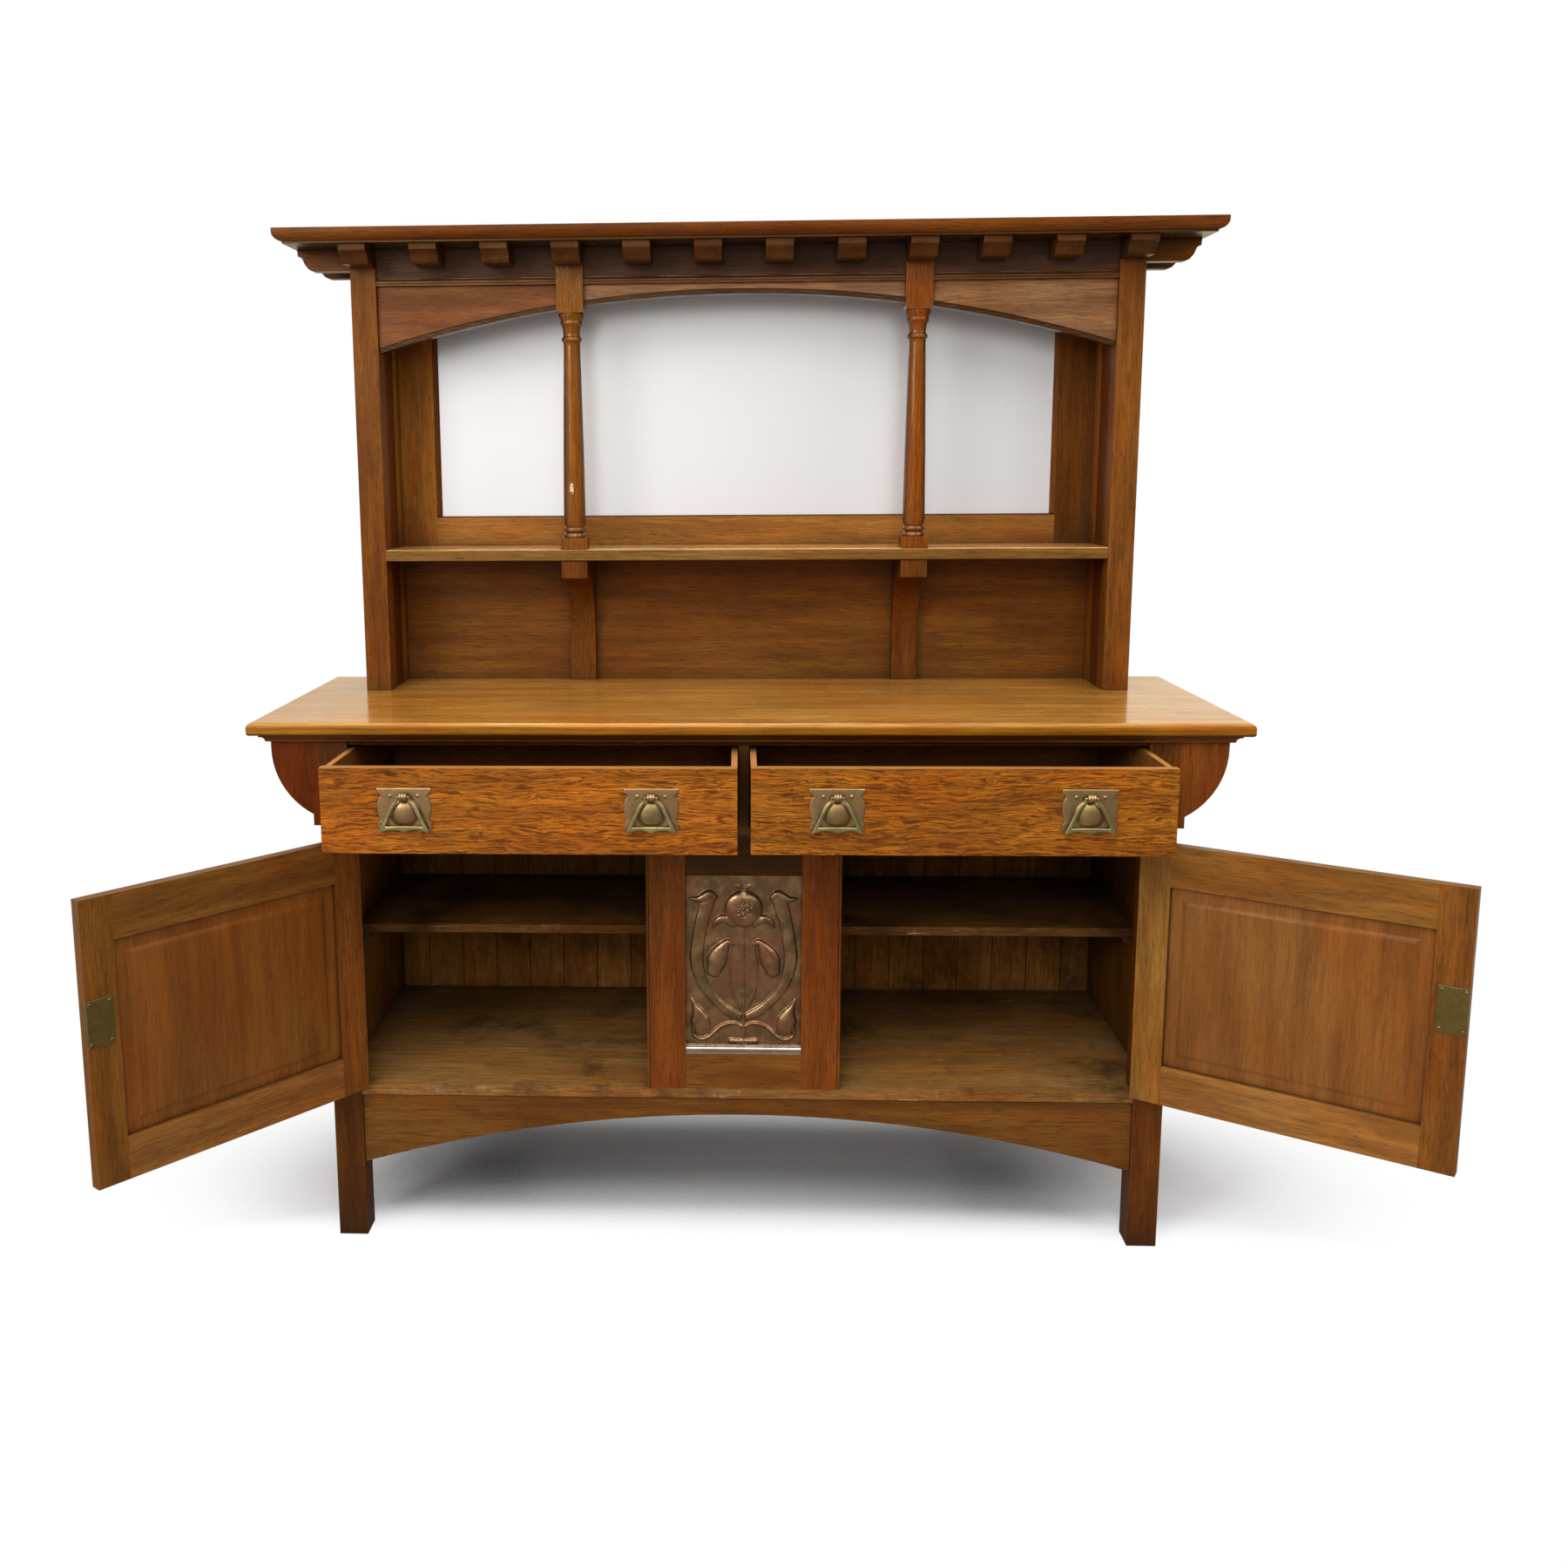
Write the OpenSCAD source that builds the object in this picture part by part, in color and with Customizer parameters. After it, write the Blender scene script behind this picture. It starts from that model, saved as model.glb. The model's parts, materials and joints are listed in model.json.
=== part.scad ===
// Mirror-back oak sideboard: base with two drawers and two cupboards, and an
// open upper part with a shelf, a framed mirror, two turned columns and a
// cornice on modillion blocks. Shown with its doors open and its drawers out.
// X runs along the front, Y from the front to the wall, Z up from the floor.

/* [Base] */
// Length of the base top
top_w = 1680; // [1600:10:1760]
// Depth of the base top, front to back
top_d = 572; // [560:4:600]
// Height of the base top's upper face above the floor
top_z = 938; // [920:2:960]
// Thickness of the base top
top_t = 22; // [18:1:26]
// Distance from the outer faces of the legs to the ends of the top
end_overhang = 114; // [112:1:125]
// Width of each front leg, also its depth
leg_w = 51; // [44:1:56]
// Depth of each rear leg
rear_leg_d = 46; // [40:1:50]
// Setback of the legs' front faces from the top's front edge
front_y = 26; // [20:1:34]
// Height of the cupboard floor's upper face
floor_z = 285; // [260:5:300]
// Thickness of the cupboard floor
floor_t = 18; // [14:1:22]
// Height of the apron at the crown of its arch
apron_crown_h = 32; // [24:1:50]
// Height of the apron where it meets the legs
apron_end_h = 129; // [90:1:140]
// Height of the rails behind the apron, at the sides and the back
lower_rail_h = 62; // [45:1:70]
// Thickness of the apron board
apron_t = 20; // [16:1:24]
// Distance that the quarter-round brackets reach out from the legs
bracket_reach = 80; // [60:1:90]
// Radius of the brackets' rounded edge
bracket_r = 130; // [120:1:150]
// Thickness of the quarter-round brackets
bracket_t = 32; // [24:1:40]
// Thickness of the side panels
side_t = 12; // [8:1:14]
// Distance that the side panels reach below the cupboard floor's upper face
side_drop = 45; // [30:1:60]
// Thickness of the back boards
board_t = 9; // [8:1:12]
// Spacing of the back boards
board_pitch = 70.4; // [66:0.2:80]
// Half width of the middle back board
board_mid = 21.4; // [15:0.2:40]
// Height of the cupboard shelves' upper faces above the cupboard floor
inner_shelf_rise = 243; // [200:1:300]
// Thickness of the cupboard shelves
inner_shelf_t = 16; // [12:1:20]
// Depth of the cupboard shelves, front to back
inner_shelf_d = 345; // [280:1:400]
// Thickness of the partitions
partition_t = 16; // [12:1:20]

/* [Drawers] */
// Height of the rail over the drawers
top_rail_h = 20; // [16:1:24]
// Depth of the rail over the drawers and of the upright between them
top_rail_d = 40; // [34:1:46]
// Height of each drawer front
drawer_h = 139; // [130:1:150]
// Thickness of the drawer fronts
drawer_front_t = 20; // [16:1:24]
// Thickness of the drawer sides and backs
drawer_side_t = 10; // [8:1:14]
// Free space behind each closed drawer
drawer_room = 32; // [20:1:80]
// Distance that the left drawer is pulled out as shown
drawer_out_left = 185; // [0:5:300]
// Distance that the right drawer is pulled out as shown
drawer_out_right = 182; // [0:1:300]
// Half width of the upright between the drawers
divider_half = 9; // [8:0.5:14]
// Height of the rail under the drawers
rail_t = 13.2; // [12:0.1:16]
// Depth of the rail under the drawers
rail_d = 60; // [50:1:80]

/* [Doors] */
// Distance from the centre to each cupboard opening
opening_x = 168; // [150:2:190]
// Thickness of the doors
door_t = 20; // [18:1:22]
// Gap round each closed door
door_gap = 1.5; // [1:0.1:2]
// Width of the door stiles
door_stile = 52; // [44:1:58]
// Height of the doors' upper rails
door_rail_top = 71; // [60:1:80]
// Height of the doors' lower rails
door_rail_low = 69; // [60:1:80]
// Margin between the door frame and the panel's raised field
field_margin = 21; // [16:1:30]
// Height of the locks' middles above the doors' lower edges
lock_rise = 261; // [220:1:300]
// Height of the lock plates
lock_h = 74; // [66:1:90]
// Width of the lock plates
lock_w = 43; // [41:1:50]
// Height of the lock bolts
bolt_h = 12; // [8:1:16]
// Thickness of the lock bolts
bolt_t = 6; // [5:0.5:7]
// Angle that the left door stands open as shown
door_open_left = 129; // [90:1:160]
// Angle that the right door stands open as shown
door_open_right = 146; // [90:1:160]

/* [Centre frame] */
// Half width of the embossed panel's opening
panel_half = 100; // [90:1:110]
// Height of the embossed panel's lower edge above the cupboard floor
panel_rise = 81; // [70:1:95]
// Distance from the rail under the drawers down to the embossed panel
panel_drop = 73.5; // [60:0.5:85]

/* [Upper part] */
// Width of each front post
post_w = 47; // [40:1:50]
// Depth of the upper part, over its front and rear posts
upper_d = 179; // [165:1:195]
// Depth of each rear post
rear_post_d = 67; // [50:1:75]
// Height from the base top to the underside of the cornice
upper_h = 820; // [790:1:850]
// Height from the base top to the shelf's upper face
shelf_rise = 269; // [250:1:290]
// Thickness of the shelf
shelf_t = 22; // [18:1:26]
// Distance from the centre to each column's axis
column_x = 320; // [280:2:360]
// Side of the columns' square blocks
column_block = 50; // [46:1:54]
// Height of the columns' upper blocks
column_head = 117; // [100:1:125]
// Distance from the cornice's underside down to the crown of the frieze arch
arch_crown_drop = 76; // [70:1:84]
// Distance from the cornice's underside down to the ends of the frieze arch
arch_end_drop = 177; // [160:1:200]
// Width of the mirror frame's stiles
mirror_stile = 68.5; // [60:0.5:80]
// Thickness of the mirror frame
mirror_t = 18; // [16:1:20]
// Thickness of the niche's back panel below the shelf
niche_t = 10; // [8:1:12]
// Setback of the fascia behind the posts' front faces
fascia_set = 5; // [3:1:8]
// Setback of the frieze behind the posts' front faces
frieze_set = 9; // [8:1:12]
// Thickness of the fascia and the frieze
frieze_t = 22; // [16:1:28]
// Height of the bed mould under the fascia
bed_h = 14; // [10:1:16]
// Distance from the shelf up to the visible mirror glass
mirror_rise = 58; // [45:1:70]
// Distance from the cornice's underside down to the mirror glass's upper edge
mirror_drop = 58; // [48:1:62]

/* [Cornice] */
// Distance from the side consoles' tips to the ends of the cornice board
cornice_margin = 17; // [10:1:24]
// Overhang of the cornice board in front of the posts
cornice_overhang = 98; // [85:1:110]
// Thickness of the cornice board
cornice_t = 22; // [18:1:26]
// Number of modillion blocks
modillion_count = 12; // [8:1:16]
// Width of each modillion block
modillion_w = 49; // [44:1:49]
// Setback of the modillions behind the cornice board's front edge
modillion_set = 20; // [12:1:26]
// Height of the modillion blocks
modillion_h = 33; // [28:1:38]
// Thickness of the side consoles
console_t = 26; // [20:1:30]
// Distance that the side consoles reach out from the posts
console_reach = 98; // [80:1:98]

/* [Handles] */
// Distance from each drawer's middle to its handles
handle_x = 196; // [180:1:210]
// Width of the handle plates
plate_w = 87; // [80:1:92]
// Height of the handle plates
plate_h = 73; // [66:1:78]
// Height of the bails' pivots above the drawers' lower edges
pivot_rise = 94; // [90:1:98]
// Radius of the bails' pivot bars
pivot_r = 2; // [1.8:0.1:2.4]
// Radial clearance of the pivot bars in their knuckles
pivot_gap = 0.06; // [0.04:0.01:0.1]

/* [Hidden] */
$fn = 64;
// The origin lies on the floor under the middle of the shown object's box
seat_x = 50;
seat_y = 95;
oak = "#8a5a2b";
oak_light = "#b07a3c";
oak_figured = "#a8561c";
oak_dark = "#5d3a1c";
oak_red = "#8a4a22";
brass = "#8f8150";
copper = "#7a5a48";
leg_out = top_w / 2 - end_overhang;
leg_in = leg_out - leg_w;
under_z = top_z - top_t;
floor_under = floor_z - floor_t;
apron_crown_z = floor_under - apron_crown_h;
apron_end_z = floor_under - apron_end_h;
mould_h = 12;
mould_z = under_z - mould_h;
side_in = leg_out - 15;
back_y = top_d - 30;
back_end = top_d - 2;
rear_leg_y = back_end - rear_leg_d;
opening_top = under_z - top_rail_h;
drawer_z = opening_top - 2 - drawer_h;
drawer_end = back_y - drawer_room;
rail_top = drawer_z - 0.3;
rail_low = rail_top - rail_t;
inner_shelf_z = floor_z + inner_shelf_rise;
inner_shelf_y = back_y - inner_shelf_d;
drawer_in = divider_half + 1.5;
drawer_ext = leg_in - 1.5;
drawer_mid = (drawer_in + drawer_ext) / 2;
pin_x = leg_in - 0.75;
pin_y = front_y - 3.4;
door_low_z = floor_z + door_gap + 0.5;
door_top_z = rail_low - door_gap;
lock_z = door_low_z + lock_rise;
panel_low_z = floor_z + panel_rise;
panel_top_z = rail_low - panel_drop;
panel_mid_z = (panel_low_z + panel_top_z) / 2;
// The relief is drawn for a panel of 200 by 302 and scaled to fit
relief_size = min((panel_top_z - panel_low_z) / 302, panel_half / 100);
door_a = opening_x + door_gap;
door_b = leg_in - door_gap;
door_h = door_top_z - door_low_z;
bolt_y = front_y + 12;
bolt_len = 30;
pivot_z = drawer_z + pivot_rise;
knuckle_y = front_y - 1.6 - 8;
soffit_t = 4;
soffit_z = top_z + upper_h;
shelf_z = top_z + shelf_rise;
shelf_under = shelf_z - shelf_t;
arch_crown_z = soffit_z - arch_crown_drop;
arch_end_z = soffit_z - arch_end_drop;
fascia_z = arch_crown_z + 10 + bed_h;
upper_back = top_d - 10;
post_y = upper_back - upper_d;
post_in = leg_out - post_w;
rear_post_y = upper_back - rear_post_d;
mirror_y = upper_back - mirror_t;
mirror_low_z = shelf_z + mirror_rise;
mirror_top_z = soffit_z - mirror_drop;
mirror_half = post_in - mirror_stile - 10;
niche_back_y = mirror_y + 4;
fascia_y = post_y + fascia_set;
frieze_y = post_y + frieze_set;
column_foot = 21;
turned_z = shelf_z + column_foot;
turned_h = soffit_z - column_head - turned_z;
cornice_half = leg_out + console_reach + cornice_margin;
cornice_y = post_y - cornice_overhang;
modillion_y = cornice_y + modillion_set;
// Hairline between the pieces of one frame
hair = 0.15;
panel_y = front_y + 10;
glass_y = mirror_y + 7;
console_y = post_y + 4;
console_rear_y = rear_post_y + 2;

module seat() {
  translate([-seat_x, -seat_y, 0]) children();
}

module both() {
  children();
  mirror([1, 0, 0]) children();
}

// Box between two opposite corners
module span(a, b) {
  translate(a) cube(b - a);
}

// Outline drawn in Y and Z, extruded along X
module along_x(x0, x1) {
  translate([x0, 0, 0]) rotate([90, 0, 90]) linear_extrude(x1 - x0) children();
}

// Outline drawn in X and Z, extruded along Y
module along_y(y0, y1) {
  translate([0, y1, 0]) rotate([90, 0, 0]) linear_extrude(y1 - y0) children();
}

// Plate edge section: low round under the front edge, top round above it
module edge_section(w, t, low, top) {
  difference() {
    square([w, t]);
    translate([-1, -1]) square([low + 1, low + 1]);
    translate([-1, t - top]) square([top + 1, top + 1]);
  }
  intersection() {
    translate([low, low]) circle(low);
    square([w, t]);
  }
  intersection() {
    translate([top, t - top]) circle(top);
    square([w, t]);
  }
}

// Plate whose front and two ends carry the same rounded edge
module edged_plate(half, y0, y1, z0, t, low, top) {
  intersection() {
    along_x(-half, half) translate([y0, z0]) edge_section(y1 - y0, t, low, top);
    along_y(y0 - 1, y1 + 1) {
      translate([-half, z0]) edge_section(half + 0.01, t, low, top);
      mirror([1, 0]) translate([-half, z0]) edge_section(half + 0.01, t, low, top);
    }
  }
}

function arch_r(half, rise) = (half * half + rise * rise) / (2 * rise);

module base_top() {
  color(oak_light) seat() edged_plate(top_w / 2, 0, top_d, under_z, top_t, 5, 9);
}

// Cove section under the top, its face hollowed by a quarter circle
module cove_section(w) {
  difference() {
    square([w, mould_h]);
    translate([0, 0]) circle(mould_h - 3);
  }
}

// A front strip and two side strips, mitred at the corners
module under_moulding() {
  reach = leg_out + bracket_reach + 16;
  color(oak) seat() difference() {
    intersection() {
      along_x(-reach, reach) translate([8, mould_z]) cove_section(back_end - 20);
      along_y(0, back_end) {
        translate([-reach, mould_z]) cove_section(reach + 0.01);
        mirror([1, 0]) translate([-reach, mould_z]) cove_section(reach + 0.01);
      }
    }
    span([-reach + 18, front_y, mould_z - 1], [reach - 18, back_end + 9, under_z + 1]);
    both() translate([reach - 9, 17, 0]) rotate([0, 0, -45])
      translate([-20, -hair / 2, mould_z - 1]) cube([40, hair, mould_h + 2]);
  }
}

module bracket_outline() {
  tip = leg_out + bracket_reach;
  low = drawer_z + 1;
  step = leg_out + 12;
  drop = mould_z - 14;
  intersection() {
    polygon([[leg_out, low], [step, low], [step, low + 20], [tip, low + 20],
      [tip, mould_z], [tip - 6, mould_z], [tip - 6, under_z], [leg_out, under_z]]);
    union() {
      translate([tip - bracket_r, drop]) circle(bracket_r, $fn = 96);
      translate([leg_out, drop]) square([bracket_reach, 60]);
      translate([leg_out, low]) square([step - leg_out, 60]);
    }
  }
}

module side_brackets() {
  color(oak) seat() both() {
    along_y(front_y, front_y + bracket_t) bracket_outline();
    along_y(top_d - 12 - bracket_t, top_d - 12) bracket_outline();
  }
}

module front_legs() {
  color(oak) seat() both()
    span([leg_in, front_y, 0], [leg_out, front_y + leg_w, under_z]);
}

module rear_legs() {
  color(oak) seat() both() difference() {
    span([leg_in, rear_leg_y, 0], [leg_out, back_end, under_z]);
    span([leg_in - 1, rear_leg_y - 1, floor_under - 8],
      [side_in, back_y + board_t, under_z + 1]);
  }
}

module side_panels() {
  color(oak_dark) seat() both()
    span([side_in, front_y + leg_w, floor_z - side_drop],
      [side_in + side_t, rear_leg_y, under_z]);
}

module front_rails() {
  color(oak) seat() {
    span([-leg_in, front_y, rail_low], [leg_in, front_y + rail_d, rail_top]);
    span([-leg_in, front_y + 4, opening_top], [leg_in, front_y + top_rail_d, under_z]);
    span([-divider_half, front_y, rail_top + hair],
      [divider_half, front_y + top_rail_d, opening_top - hair]);
  }
}

module drawer_runners() {
  color(oak_dark) seat() {
    both() span([leg_in - 20, front_y + rail_d, rail_low], [side_in, back_y, rail_top]);
    span([-28, front_y + rail_d, rail_low], [28, back_y, rail_top]);
  }
}

module drawer_guides() {
  color(oak_dark) seat() {
    both() {
      span([leg_in, front_y + leg_w, rail_top], [side_in, back_y, rail_top + 24]);
      span([leg_in - 20, front_y + leg_w, opening_top], [side_in, back_y, under_z]);
    }
    span([-divider_half, front_y + top_rail_d, rail_top],
      [divider_half, back_y, rail_top + 24]);
    span([-28, front_y + top_rail_d, opening_top], [28, back_y, under_z]);
  }
}

module partitions() {
  color(oak_dark) seat() both()
    span([opening_x - 2 - partition_t, front_y + 22, floor_z],
      [opening_x - 2, back_y, rail_low]);
}

module floor_board() {
  color(oak_dark) seat() translate([0, 0, floor_under]) linear_extrude(floor_t)
    difference() {
      translate([-side_in, front_y]) square([side_in * 2, back_y - front_y]);
      translate([leg_in, front_y - 1]) square([leg_w, leg_w + 1]);
      translate([-leg_out, front_y - 1]) square([leg_w, leg_w + 1]);
    }
}

module apron() {
  rise = apron_crown_z - apron_end_z;
  r = arch_r(leg_in, rise);
  color(oak) seat() along_y(front_y + 4, front_y + 4 + apron_t) difference() {
    translate([-leg_in, apron_end_z]) square([leg_in * 2, apron_end_h]);
    translate([0, apron_crown_z - r]) circle(r, $fn = 360);
  }
}

module lower_rails() {
  low = floor_under - lower_rail_h;
  color(oak_dark) seat() {
    both() span([side_in - 22, front_y + leg_w, low], [side_in, rear_leg_y, floor_under]);
    span([-leg_in, back_y - 18, low], [leg_in, back_y, floor_under]);
  }
}

module inner_shelves() {
  color(oak_dark) seat() both()
    span([opening_x - 2, inner_shelf_y, inner_shelf_z - inner_shelf_t],
      [side_in, back_y, inner_shelf_z]);
}

module shelf_bearers() {
  z1 = inner_shelf_z - inner_shelf_t;
  y0 = inner_shelf_y + 18;
  color(oak_dark) seat() both() {
    span([opening_x - 2, y0, z1 - 18], [opening_x + 12, back_y, z1]);
    span([side_in - 14, y0, z1 - 18], [side_in, back_y, z1]);
  }
}

// Tongued and grooved vertical boards with a small gap line between them
module back_boards() {
  low = floor_under - 8;
  last = ceil((side_in - board_mid) / board_pitch) - 1;
  color(oak_dark) seat() {
    span([-board_mid + 0.8, back_y, low], [board_mid - 0.8, back_y + board_t, under_z]);
    both() for (i = [0 : last]) {
      x0 = board_mid + i * board_pitch;
      x1 = i == last ? side_in : x0 + board_pitch - 0.8;
      span([x0 - 0.7, back_y + 3, low], [x0 + 0.8, back_y + 6, under_z]);
      span([x0 + 0.8, back_y, low], [x1, back_y + board_t, under_z]);
    }
  }
}

module bolt_mortise() {
  span([opening_x - 11, bolt_y - 0.6, lock_z - bolt_h / 2 - 1],
    [opening_x + 1, bolt_y + bolt_t + 0.6, lock_z + bolt_h / 2 + 1]);
}

module centre_frame() {
  color(oak_red) seat() difference() {
    union() {
      both() {
        span([panel_half, front_y, floor_z],
          [opening_x - 5 - hair, front_y + 22, rail_low]);
        stile_bead();
      }
      span([-panel_half + hair, front_y, floor_z],
        [panel_half - hair, front_y + 22, panel_low_z - 18]);
      span([-panel_half + hair, front_y, panel_top_z + 8],
        [panel_half - hair, front_y + 22, rail_low]);
      along_x(-panel_half + hair, panel_half - hair) top_mould_section();
    }
    span([-panel_half - 6, panel_y, panel_low_z - 24],
      [panel_half + 6, front_y + 23, panel_top_z + 6]);
    both() bolt_mortise();
  }
}

// Bead along the stile's edge beside the door opening
module stile_bead() {
  span([opening_x - 5, front_y + 2.5, floor_z], [opening_x, front_y + 22, rail_low]);
  translate([opening_x - 2.5, front_y + 2.5, floor_z]) cylinder(rail_low - floor_z, 2.5, 2.5);
}

module top_mould_section() {
  polygon([[front_y, panel_top_z + 8], [front_y + 1, panel_top_z + 6],
    [front_y + 6, panel_top_z + 4], [front_y + 8, panel_top_z],
    [panel_y, panel_top_z], [panel_y, panel_top_z + 8]]);
}

module panel_backing() {
  color(oak_dark) seat() span([-panel_half - 6, panel_y + 1.2, panel_low_z - 24],
    [panel_half + 6, front_y + 22, panel_top_z + 6]);
}

// Point of a smooth curve through four control points
function bez(p, t) = p[0] * pow(1 - t, 3) + p[1] * 3 * t * pow(1 - t, 2)
  + p[2] * 3 * t * t * (1 - t) + p[3] * pow(t, 3);
function bez_run(p, n) = [for (i = [0 : n]) bez(p, i / n)];
function flip(v) = [for (i = [len(v) - 1 : -1 : 0]) v[i]];

// Band between two smooth curves that start and end side by side
module band(a, b, n) {
  polygon(concat(bez_run(a, n), flip(bez_run(b, n))));
}

module leaf_band() {
  band([[-76, 99], [-104, 3], [-100, -87], [-3, -112]],
    [[-52, 99], [-82, 3], [-70, -67], [-3, -100]], 16);
}

module whiplash() {
  band([[-2, -118], [-46, -115], [-52, -161], [-88, -143]],
    [[-2, -123], [-44, -121], [-54, -167], [-92, -143]], 12);
  translate([-90, -141]) circle(3.4);
}

module bud() {
  translate([-72, -112]) circle(15.5);
  polygon([[-86, -73], [-76, -83], [-62, -100], [-85, -105], [-84, -87]]);
}

module pod() {
  translate([-42, 3]) rotate(-28) intersection() {
    translate([-22, 0]) circle(38);
    translate([22, 0]) circle(38);
  }
}

module scroll() {
  band([[-94, 113], [-88, 97], [-70, 129], [-48, 107]],
    [[-94, 109], [-86, 83], [-70, 113], [-48, 103]], 10);
}

module inner_stem() {
  band([[-18, 23], [-28, -17], [-22, -72], [-3, -96]],
    [[-15, 23], [-24, -17], [-18, -70], [-3, -92]], 10);
}

// Plant relief about the sheet's middle, raised in steps
module relief() {
  both() {
    along_y(-2, 0.6) leaf_band();
    along_y(-3, 0.6) whiplash();
    along_y(-4, 0.6) bud();
    along_y(-5, 0.6) pod();
    along_y(-3.5, 0.6) scroll();
    along_y(-2, 0.6) inner_stem();
  }
  intersection() {
    translate([0, 30, 86]) sphere(44.6, $fn = 96);
    span([-36, -20, 43], [36, 0.6, 128]);
  }
  along_y(-2.4, 0.6) {
    translate([-2, -143]) square([4, 200]);
    translate([-22, -149]) square([44, 8]);
  }
}

// Repousse sheet with its relief
module copper_panel() {
  color(copper) seat() union() {
    span([-panel_half - 6, panel_y, panel_low_z - 24],
      [panel_half + 6, panel_y + 1.2, panel_top_z + 6]);
    translate([0, panel_y, panel_mid_z]) scale(relief_size) relief();
  }
}

module panel_bead() {
  color(copper) seat() along_x(-panel_half, panel_half) {
    translate([panel_y - 6, panel_low_z - 9]) circle(5);
    translate([panel_y - 6, panel_low_z - 18]) square([6, 17]);
    translate([panel_y - 9, panel_low_z - 18]) square([4, 5]);
  }
}

// One butt hinge's two outer knuckles, leaf and pin, on the right leg
module frame_hinge(z) {
  difference() {
    union() {
      translate([pin_x, pin_y, z]) cylinder(16.5, 3, 3);
      translate([pin_x, pin_y, z + 33.5]) cylinder(16.5, 3, 3);
      span([pin_x + 0.15, pin_y + 1, z], [leg_in, front_y + 16, z + 16.5]);
      span([pin_x + 0.15, pin_y + 1, z + 33.5], [leg_in, front_y + 16, z + 50]);
      span([pin_x + 0.15, front_y + 1, z], [leg_in, front_y + 16, z + 50]);
    }
    translate([pin_x, pin_y, z - 1]) cylinder(52, 1.5, 1.5);
  }
  translate([pin_x, pin_y, z]) cylinder(50, 1.5, 1.5);
}

module frame_hinges() {
  color(brass) seat() both() {
    frame_hinge(door_low_z + 50);
    frame_hinge(door_top_z - 100);
  }
}

module door_hinge(z) {
  difference() {
    union() {
      translate([pin_x, pin_y, z + 16.8]) cylinder(16.4, 3, 3);
      span([door_b, pin_y + 1, z + 16.8], [pin_x - 0.15, front_y + 16, z + 33.2]);
      span([door_b, front_y + 1, z], [pin_x - 0.15, front_y + 16, z + 50]);
    }
    translate([pin_x, pin_y, z]) cylinder(50, 1.56, 1.56);
  }
}

// Right door's pieces as if closed; the left ones are their mirror image
module lock_pocket() {
  span([door_a - 1, front_y + 9, lock_z - 31], [door_a + 39, front_y + door_t + 1, lock_z + 31]);
}

module door_frame_closed() {
  p0 = door_low_z + door_rail_low;
  p1 = door_top_z - door_rail_top;
  difference() {
    union() {
      span([door_a, front_y, door_low_z], [door_a + door_stile, front_y + door_t, door_top_z]);
      span([door_b - door_stile, front_y, door_low_z], [door_b, front_y + door_t, door_top_z]);
      span([door_a + door_stile + hair, front_y, door_low_z],
        [door_b - door_stile - hair, front_y + door_t, p0]);
      span([door_a + door_stile + hair, front_y, p1],
        [door_b - door_stile - hair, front_y + door_t, door_top_z]);
    }
    span([door_a + door_stile - 8, front_y + 7, p0 - 8],
      [door_b - door_stile + 8, front_y + 13, p1 + 8]);
    lock_pocket();
    translate([door_a + 19, front_y - 1, lock_z]) rotate([-90, 0, 0]) cylinder(12, 2.5, 2.5);
  }
}

// Section of a raised and fielded panel: thin edge, sloped margin, thick field
function panel_points(a, b) = [[a - 8, 7], [a, 7], [a + field_margin - 1, 5],
  [a + field_margin, 4], [b - field_margin, 4], [b - field_margin + 1, 5], [b, 7],
  [b + 8, 7], [b + 8, 13], [b, 13], [b - field_margin + 1, 15], [b - field_margin, 16],
  [a + field_margin, 16], [a + field_margin - 1, 15], [a, 13], [a - 8, 13]];
function swap(v) = [for (p = v) [p[1], p[0]]];

module door_panel_closed() {
  p0 = door_low_z + door_rail_low;
  p1 = door_top_z - door_rail_top;
  x0 = door_a + door_stile;
  x1 = door_b - door_stile;
  translate([0, front_y, 0]) intersection() {
    translate([0, 0, p0 - 8]) linear_extrude(p1 - p0 + 16) polygon(panel_points(x0, x1));
    along_x(x0 - 8, x1 + 8) polygon(swap(panel_points(p0, p1)));
  }
}

module door_metal_closed() {
  door_hinge(door_low_z + 50);
  door_hinge(door_top_z - 100);
  difference() {
    union() {
      span([door_a, front_y + door_t, lock_z - lock_h / 2],
        [door_a + lock_w, front_y + door_t + 1.2, lock_z + lock_h / 2]);
      span([door_a, front_y + 9, lock_z - 31], [door_a + 39, front_y + door_t, lock_z + 31]);
    }
    span([door_a - 1, bolt_y - 0.15, lock_z - bolt_h / 2 - 0.15],
      [door_a + bolt_len + 2, bolt_y + bolt_t + 0.15, lock_z + bolt_h / 2 + 0.15]);
  }
  for (sx = [5, lock_w - 5], sz = [-lock_h / 2 + 6, lock_h / 2 - 6])
    translate([door_a + sx, front_y + door_t + 1.2, lock_z + sz]) rotate([-90, 0, 0])
      cylinder(0.8, 2.6, 2.2);
  translate([door_a + 19, front_y - 1.2, lock_z]) rotate([-90, 0, 0]) difference() {
    cylinder(1.2, 9, 9);
    translate([0, 0, -1]) cylinder(4, 2.5, 2.5);
  }
}

module door_bolt_closed() {
  span([door_a, bolt_y, lock_z - bolt_h / 2],
    [door_a + bolt_len, bolt_y + bolt_t, lock_z + bolt_h / 2]);
}

module open_right() {
  translate([pin_x, pin_y, 0]) rotate([0, 0, door_open_right])
    translate([-pin_x, -pin_y, 0]) children();
}

module open_left() {
  translate([-pin_x, pin_y, 0]) rotate([0, 0, -door_open_left])
    translate([pin_x, -pin_y, 0]) mirror([1, 0, 0]) children();
}

module door_left_frame() {
  color(oak) seat() open_left() door_frame_closed();
}

module door_left_panel() {
  color(oak_red) seat() open_left() door_panel_closed();
}

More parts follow.
